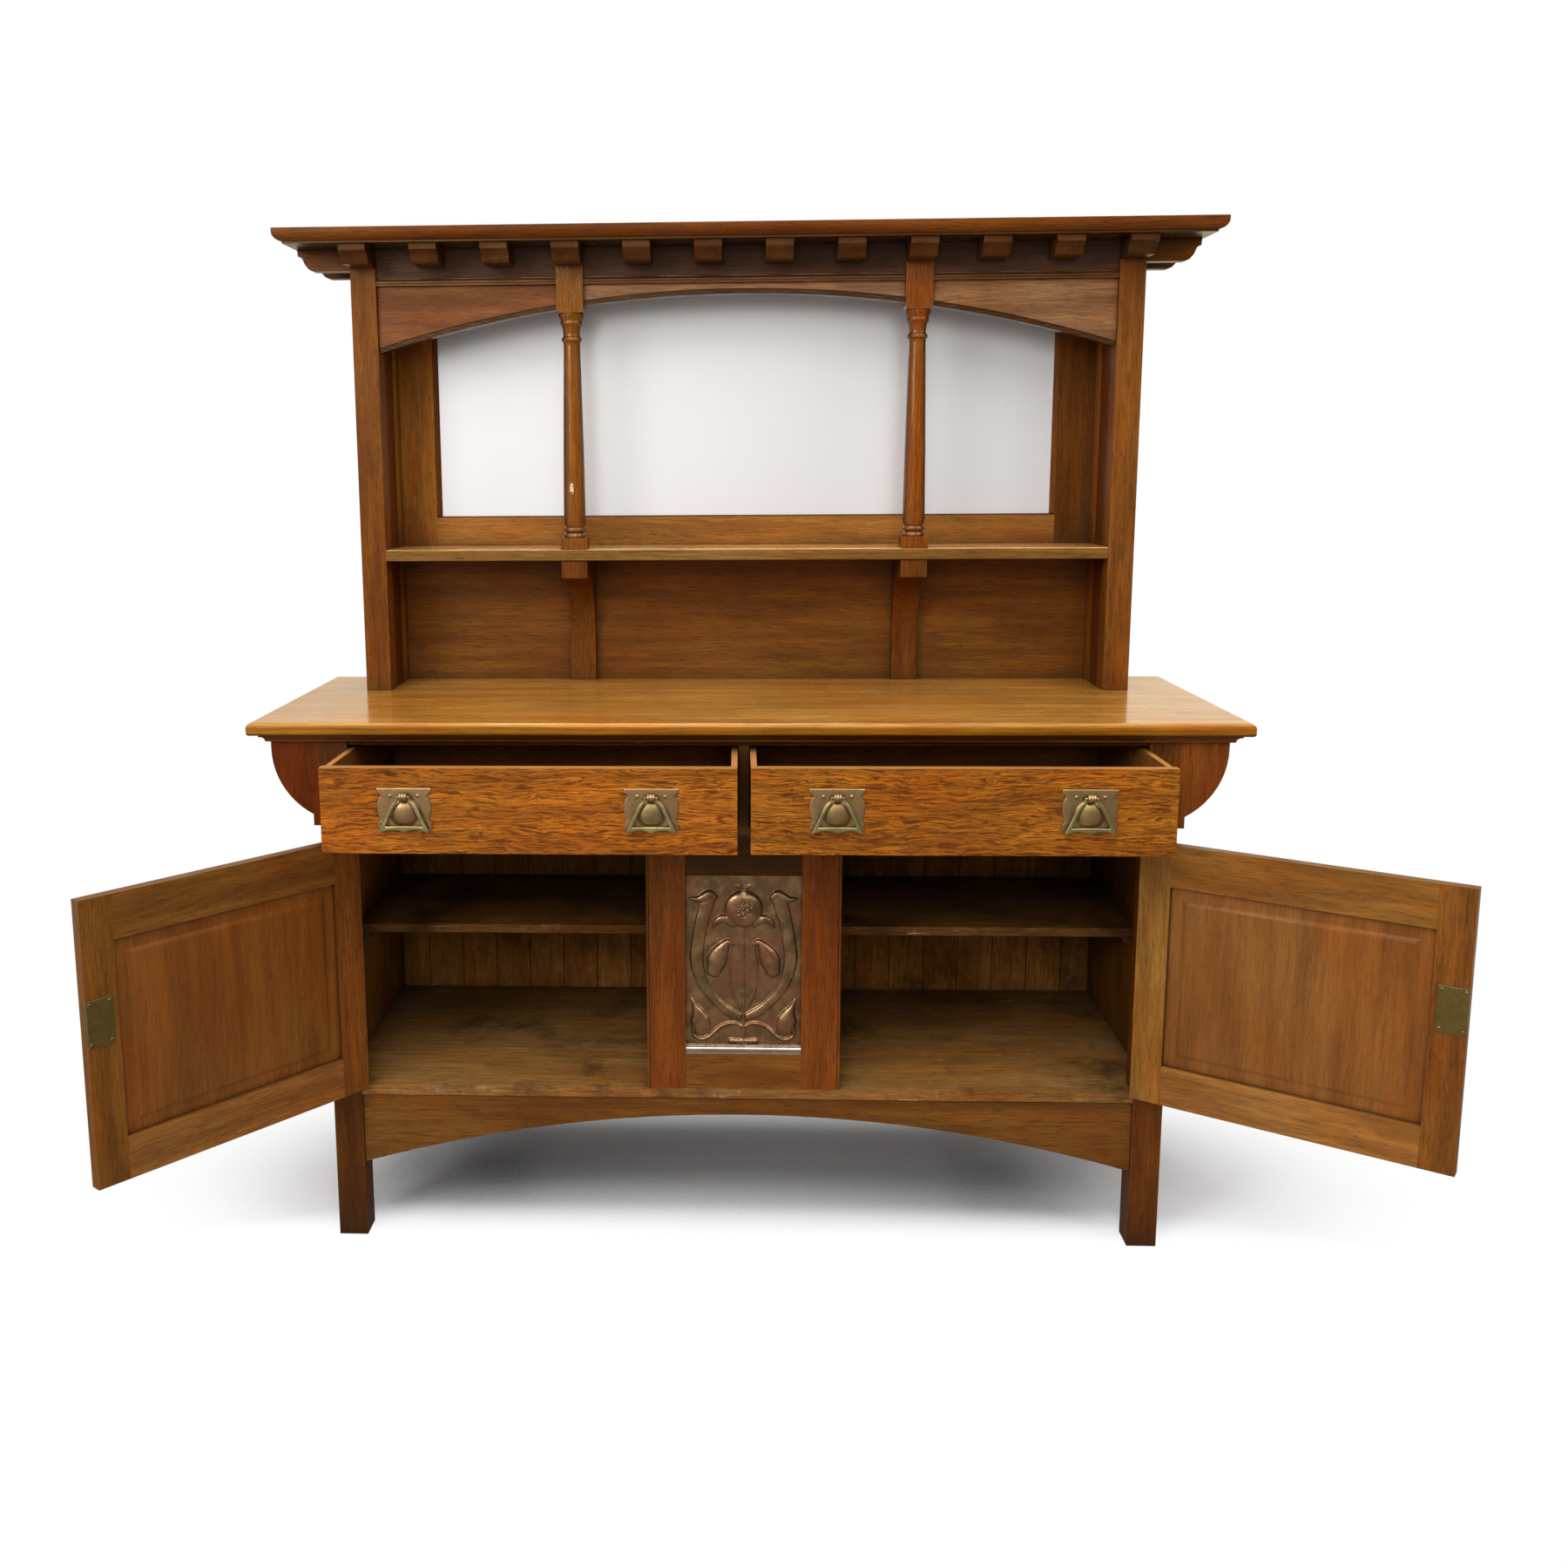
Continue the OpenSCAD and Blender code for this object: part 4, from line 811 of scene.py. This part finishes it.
def turned(name, profile, centre, axis, steps=24):
    """A turned piece: pairs of place along the axis and radius, in millimetres"""
    turns = np.linspace(0, 2 * math.pi, steps + 1)
    side, up = {"X": ((0, 1, 0), (0, 0, 1)), "Y": ((0, 0, 1), (1, 0, 0))}[axis]
    ahead = np.cross(side, up)
    rows = [np.array(centre) + MM * (along * ahead + radius * (
        np.outer(np.cos(turns), side) + np.outer(np.sin(turns), up)))
        for along, radius in profile]
    return loft(name, rows)


def joined(name, pieces):
    """One piece made of several, as the active piece"""
    deselect()
    for piece in pieces:
        piece.select_set(True)
    bpy.context.view_layer.objects.active = pieces[0]
    bpy.ops.object.join()
    pieces[0].name = name
    return pieces[0]


def copied(name, piece, place):
    """A copy with its own mesh, moved from the origin to its place"""
    copy = piece.copy()
    copy.data = piece.data.copy()
    copy.name = name
    copy.data.transform(Matrix.Translation(place))
    bpy.context.collection.objects.link(copy)
    return copy


def pin_of(body):
    """Middle of a bail's pin"""
    low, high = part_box(body)
    return (low[0] + high[0]) / 2, (low[1] + high[1]) / 2, high[2] - 2 * MM


def round_edges(piece, width, segments, angle):
    """Rounds the edges of the active piece that turn by more than the angle in degrees"""
    rounding = piece.modifiers.new("rounding", "BEVEL")
    rounding.width = width * MM
    rounding.segments = segments
    rounding.limit_method = "ANGLE"
    rounding.angle_limit = math.radians(angle)
    bpy.ops.object.modifier_apply(modifier=rounding.name)


def both_halves(half):
    """A line that ends in the middle, and its mirror image from there back"""
    return (*half, *((-x, z) for x, z in half[-2::-1]))


# Right half of a handle plate's outline, in millimetres from the bail's pin
PLATE = ((0, 13), (14, 13), (28, 13), (43.4, 13), (43.4, 6.8), (40.5, 5.6), (38.4, 3.4),
         (38.0, 0.5), (40.4, -4), (42.6, -10), (43.4, -17), (42.8, -24), (41.2, -31),
         (39.8, -37), (40.4, -41.6), (43.3, -43.4), (43.3, -54), (30, -54), (14, -54),
         (0, -54))
# Place along the axis and radius of turned pieces, in millimetres
RIBS = (*both_halves(((-7, 2.2), (-7, 4.6), (-6.2, 6.0), (-5.0, 6.8), (-3.8, 7.1), (-2.8, 6.7),
                      (-2.3, 6.1), (-1.8, 6.7), (-1.0, 7.2), (0, 7.3))), (-7, 2.2))
NECK = ((2, 0), (2, 3.4), (7, 4.2), (9, 4.8), (9, 0))
SCREW = ((0, 0), (0, 1.3), (0.5, 2.3), (1.2, 2.8), (2.4, 2.9), (2.4, 0))
# Radius and rise of the rings of a plate's boss, in millimetres, then the boss's middle,
# sideways and up from the pin, and the radius of its foot
BOSS = ((23, 0.3), (21.6, 1.3), (20, 2.7), (18, 4.2), (15.5, 5.5), (12.5, 6.6), (9, 7.5),
        (5.5, 8.0), (2.5, 8.2), (0, 8.3))
BOSS_MIDDLE, BOSS_FOOT = (0, -27.0), 24
# How far a plate's back, edge and face lie behind the pin, in millimetres
PLATE_BACK, PLATE_EDGE, PLATE_FACE = 9.6, 8.5, 8.1


class SIDEBOARD_OT_plates(bpy.types.Operator):
    """Emboss the handle plates and set their knuckles and screws"""
    bl_idname = "sideboard.plates"
    bl_label = "Handle plates"

    def execute(self, context):
        tint = context.scene.sideboard_metal
        finish = metal("plate brass", tint.brass, tint.brass_old, tint.brass_rose,
                       gloss=0.34)
        for side in SIDES:
            plates = joined(f"drawer_{side}_handle_plates",
                            [piece for body in BAILS if side in body
                             for piece in self.handle(pin_of(body))])
            bpy.ops.object.shade_smooth_by_angle(angle=math.radians(50))
            plates.data.materials.append(finish)
            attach(plates, f"drawer_{side}")
            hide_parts(f"drawer_{side}_plates")
        return {"FINISHED"}

    def handle(self, pin):
        """Plate, knuckle, neck and two screws about one bail's pin"""
        outline = np.array(both_halves(PLATE), float)
        run = run_of(outline)
        places = np.unique(np.concatenate((run, np.linspace(0, run[-1], 97))).round(4))
        edge = np.column_stack([np.interp(places, run, outline[:, i]) for i in (0, 1)])
        middle = np.array(BOSS_MIDDLE)
        rim = edge + (middle - edge) * 0.5 / np.hypot(*(middle - edge).T)[:, None]
        angle = np.arctan2(*(edge - middle).T)
        spokes = np.column_stack((np.sin(angle), np.cos(angle)))
        rings = [(edge, PLATE_BACK), (edge, PLATE_EDGE), (rim, PLATE_FACE)]
        for share in (0.1, 0.25, 0.4, 0.55, 0.7, 0.85, 1.0):
            dished = PLATE_FACE - 0.5 * math.sin(math.pi * share)
            rings.append((rim + (middle + BOSS_FOOT * spokes - rim) * share, dished))
        rings += [(middle + reach * spokes, PLATE_FACE - rise) for reach, rise in BOSS]
        rows = [np.column_stack((ring[:, 0], np.full(len(ring), depth), ring[:, 1]))
                for ring, depth in rings]
        screws = [turned("screw", SCREW, pin + np.array((x, 5.8, 0.5)) * MM, "Y", 14)
                  for x in (-22, 22)]
        return [loft("plate", pin + np.array(rows) * MM), turned("knuckle", RIBS, pin, "X"),
                turned("neck", NECK, pin, "Y", 16), *screws]


# Margin, groove and field of a door panel: millimetres inwards and up
FIELD_STEPS = ((8, 0), (21, 0.4), (1.2, 1.2), (5.0, 2.4), (0.8, 0.2))


class SIDEBOARD_OT_fields(bpy.types.Operator):
    """Raise and field the door panels on both sides"""
    bl_idname = "sideboard.fields"
    bl_label = "Door panels"

    def execute(self, context):
        for side in SIDES:
            body, node = f"door_{side}", f"door_{side}_panel"
            shut = closed_place(body)
            corners = [shut @ v.co for v in frame["nodes"][node].data.vertices]
            low, high = (Vector([pick(c[i] for c in corners) for i in range(3)])
                         for pick in (min, max))
            deselect()
            bpy.ops.mesh.primitive_cube_add(
                size=1, location=(low + high) / 2,
                scale=(high.x - low.x, 6 * MM, high.z - low.z))
            field = active()
            field.name = body + "_field"
            bpy.ops.object.transform_apply()
            for facing in (-1, 1):
                self.raise_face(field, facing)
            round_edges(field, 0.6, 2, 18)
            bpy.ops.object.shade_smooth_by_angle(angle=math.radians(40))
            field.data.transform(shut.inverted())
            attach(field, body)
            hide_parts(node)
        return {"FINISHED"}

    def raise_face(self, field, facing):
        """Sloped margin, a step, and the flat field"""
        for part in (*field.data.vertices, *field.data.edges):
            part.select = False
        for face in field.data.polygons:
            face.select = face.normal.y * facing > 0.9
        bpy.ops.object.mode_set(mode="EDIT")
        bpy.ops.mesh.select_mode(type="FACE")
        for inward, rise in FIELD_STEPS:
            bpy.ops.mesh.inset(thickness=inward * MM, depth=rise * MM)
        bpy.ops.object.mode_set(mode="OBJECT")


# Outer and inner line of one arm of a bail and half its foot, in millimetres from its pin
BAIL_OUT = ((10.6, 2), (11.4, -4.5), (14, -7.6), (17.5, -10.6), (22, -17), (27.5, -28),
            (32.5, -40), (37.2, -50), (41, -57.6), (35, -56.8), (27, -53.4), (20, -52.2),
            (10, -53.6), (4, -55.6), (0, -57.3))
BAIL_IN = ((7.8, 2), (7.8, -5), (9.4, -9.2), (12.4, -12.8), (16.5, -19), (21.5, -29),
           (25.5, -38), (28, -44), (29.4, -47), (27, -47.2), (23, -47), (18, -46.8),
           (10, -46.6), (4, -46.6), (0, -46.6))
HALF_BAR = 2.2  # half the thickness of a bail, in millimetres


class SIDEBOARD_OT_bails(bpy.types.Operator):
    """Cast the four bails"""
    bl_idname = "sideboard.bails"
    bl_label = "Bails"

    def execute(self, context):
        tint = context.scene.sideboard_metal
        gold = metal("bail brass", tint.bail, tint.brass_old, gloss=0.30, clouds=0.45)
        first = self.cast()
        for body in BAILS:
            bail = copied(body + "_cast", first, pin_of(body))
            bail.data.materials.append(gold)
            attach(bail, body)
            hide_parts(body)
        bpy.data.objects.remove(first)
        return {"FINISHED"}

    def cast(self):
        """One bail about its pin, rounded like a casting"""
        outer, inner = both_halves(BAIL_OUT), both_halves(BAIL_IN)
        bail = new_grid("bail", len(outer) - 1, 1)
        rows = sorted(bail.data.vertices, key=lambda v: (v.co.y, v.co.x))
        for vertex, (x, z) in zip(rows, outer + inner):
            vertex.co = (x * MM, -HALF_BAR * MM, z * MM)
        bpy.ops.object.mode_set(mode="EDIT")
        bpy.ops.mesh.select_all(action="SELECT")
        bpy.ops.mesh.extrude_region_move(
            TRANSFORM_OT_translate={"value": (0, 2 * HALF_BAR * MM, 0)})
        face_outwards()
        round_edges(bail, 1.7, 3, 50)
        smooth = bail.modifiers.new("smoothing", "SUBSURF")
        smooth.levels = smooth.render_levels = 1
        bpy.ops.object.modifier_apply(modifier=smooth.name)
        whole = joined("bail", (bail, self.pin()))
        bpy.ops.object.shade_smooth_by_angle(angle=math.radians(40))
        return whole

    def pin(self):
        """Pin through the knuckle, its ends rounded over"""
        deselect()
        bpy.ops.mesh.primitive_cylinder_add(vertices=24, radius=1.95 * MM, depth=18 * MM,
                                            rotation=(0, math.pi / 2, 0))
        pin = active()
        bpy.ops.object.transform_apply()
        round_edges(pin, 0.5, 2, 30)
        return pin


class SIDEBOARD_OT_mirror(bpy.types.Operator):
    """Silver the mirror"""
    bl_idname = "sideboard.mirror"
    bl_label = "Mirror"

    def execute(self, context):
        tint = context.scene.sideboard_metal
        s = Shader("silvered glass")
        silver = s.mix(s.noise(s.place(), 3, 4), tint.silver_mist, tint.silver)
        haze = s.between(s.noise(s.place(), 90, 2), 0.76, 0.80, 0.24, 0.34)
        dress("mirror_glass", s.finish(base_color=silver, metallic=0.45, roughness=haze))
        return {"FINISHED"}


# Name, place and width in metres, and share of the key lamp's power
LAMPS = (("key lamp", (-0.45, -2.9, 4.3), 2.6, 1),
         ("window lamp", (-2.5, -3.0, 2.5), 1.4, 0.52),
         ("side lamp", (3.6, -2.2, 3.4), 2.0, 0.40),
         ("top lamp", (0.2, 0.6, 4.4), 2.6, 0.56),
         ("front lamp", (-0.1, -3.6, 2.15), 1.2, 0.26))
LAMPS_AIM = Vector((0, 0.1, 0.9))
# Fitted to the photograph: place in metres, angles in degrees, shift in widths of the frame
CAMERA_PLACE = (-0.05894, -2.56714, 1.36193)
CAMERA_DOWN, CAMERA_TURN, CAMERA_ROLL = 9.73, 2.53, -0.38
CAMERA_SHIFT = (0.0709, -0.0382)


class SIDEBOARD_OT_stage(bpy.types.Operator):
    """Add the floor, the lamps, the surroundings and the camera"""
    bl_idname = "sideboard.stage"
    bl_label = "Stage"

    def execute(self, context):
        stage = context.scene.sideboard_stage
        deselect()
        self.add_floor(stage)
        self.add_lamps(stage)
        self.add_surroundings(context.scene, stage)
        self.add_camera(context.scene, stage)
        return {"FINISHED"}

    def add_floor(self, stage):
        """Floor that keeps the shadow, with painted shadow close under the sideboard, and gives way to the white
        surroundings
        """
        bpy.ops.mesh.primitive_plane_add(size=24, location=(0, 0, -0.5 * MM))
        floor = active()
        floor.name = "floor"
        s = Shader("pale floor")
        place = s.place()
        # Painted shadow: the floor darkens towards the sideboard by occlusion
        ground = s.mix(s.shade(0.38, 8), stage.floor, stage.floor_shadow)
        ground = s.mix(s.ray("Glossy"), ground, stage.floor_seen)
        about = s.times(s.plus(place, (0, -0.2, 0)), (0.78, 1.75, 0))
        clear = s.maths("MAXIMUM", s.between(s.distance(about), 0.56, 0.99),
                        s.between(s.axis(place, "Y"), 0.075, -0.07))
        share = s.maths("MAXIMUM", s.between(s.distance(place), 1.6, 3.6),
                        s.share(clear, s.ray("Camera")))
        paint = s.add("ShaderNodeBsdfDiffuse", {"Color": ground})
        gone = s.add("ShaderNodeBsdfTransparent", {})
        blend = s.add("ShaderNodeMixShader", {0: share, 1: paint, 2: gone})
        s.put(s.tree.nodes["Material Output"].inputs["Surface"], blend)
        floor.data.materials.append(s.material)

    def add_lamps(self, stage):
        for name, place, size, share in LAMPS:
            bpy.ops.object.light_add(type="AREA", location=place)
            lamp = active()
            lamp.name = name
            lamp.data.size = size
            lamp.data.energy = stage.key * share
            lamp.visible_glossy = name != "front lamp"
            aim = LAMPS_AIM - Vector(place)
            lamp.rotation_euler = aim.to_track_quat("-Z", "Y").to_euler()

    def add_surroundings(self, scene, stage):
        """White to the camera, and to gloss a room with a window behind and light above"""
        scene.world = bpy.data.worlds.new("surroundings")
        scene.world.use_nodes = True
        s = Nodes(scene.world.node_tree)
        glossy = s.ray("Glossy")
        seen = s.maths("MAXIMUM", s.ray("Camera"), s.ray("Transmission"))
        fill = s.between(seen, 0, 1, stage.sky, 1, "LINEAR")
        way = s.add("ShaderNodeTexCoord", {}, "Generated")
        across, back, up = (s.axis(way, name) for name in "XYZ")
        wall = s.between(across, -0.22, 0.18, 0.99, 0.34, "LINEAR")
        window = s.between(across, -0.35, 0.35, 0.75, 1, "LINEAR")
        behind = s.between(back, -0.1, 0.1, 0, 1, "LINEAR")
        above = s.between(up, 0.20, 0.48, 0, 2.6, "LINEAR")
        room = s.add("ShaderNodeMix", {0: behind, 2: s.maths("ADD", wall, above), 3: window})
        tone = s.mix(s.share(behind, glossy), (1, 1, 1), stage.window)
        sky = s.tree.nodes["Background"]
        s.put(sky.inputs["Color"], tone)
        s.put(sky.inputs["Strength"], s.add("ShaderNodeMix", {0: glossy, 2: fill, 3: room}))

    def add_camera(self, scene, stage):
        bpy.ops.object.camera_add(location=CAMERA_PLACE)
        camera = active()
        camera.name = "camera"
        down, turn, roll = (math.radians(a) for a in (CAMERA_DOWN, CAMERA_TURN, CAMERA_ROLL))
        aim = (Matrix.Rotation(turn, 4, "Z") @ Matrix.Rotation(math.pi / 2 - down, 4, "X")
               @ Matrix.Rotation(roll, 4, "Z"))
        camera.rotation_euler = aim.to_euler()
        camera.data.sensor_width = 36
        camera.data.lens = stage.focal
        camera.data.shift_x, camera.data.shift_y = CAMERA_SHIFT
        scene.camera = camera
        scene.view_settings.view_transform = "Standard"


class SIDEBOARD_PT_panel(bpy.types.Panel):
    """Steps and settings of the sideboard"""
    bl_idname = "SIDEBOARD_PT_panel"
    bl_label = "Sideboard"
    bl_space_type = "VIEW_3D"
    bl_region_type = "UI"
    bl_category = "Sideboard"

    def draw(self, context):
        for step in STEPS:
            self.layout.operator(step.bl_idname)
        for name, group in SETTINGS.items():
            box = self.layout.box()
            settings = getattr(context.scene, name)
            for key in group.__annotations__:
                box.prop(settings, key)


SETTINGS = {"sideboard_wood": WoodSettings, "sideboard_metal": MetalSettings,
            "sideboard_relief": ReliefSettings, "sideboard_stage": StageSettings}
STEPS = (SIDEBOARD_OT_fields, SIDEBOARD_OT_oak, SIDEBOARD_OT_brass, SIDEBOARD_OT_relief,
         SIDEBOARD_OT_plates, SIDEBOARD_OT_bails, SIDEBOARD_OT_mirror, SIDEBOARD_OT_stage)


def register():
    for name, group in SETTINGS.items():
        bpy.utils.register_class(group)
        setattr(bpy.types.Scene, name, PointerProperty(type=group))
    for step in (*STEPS, SIDEBOARD_PT_panel):
        bpy.utils.register_class(step)


def unregister():
    for step in (SIDEBOARD_PT_panel, *reversed(STEPS)):
        bpy.utils.unregister_class(step)
    for name, group in SETTINGS.items():
        delattr(bpy.types.Scene, name)
        bpy.utils.unregister_class(group)


def main():
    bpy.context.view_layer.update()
    register()
    for step in STEPS:
        group, name = step.bl_idname.split(".")
        getattr(getattr(bpy.ops, group), name)()


if __name__ == "__main__":
    main()
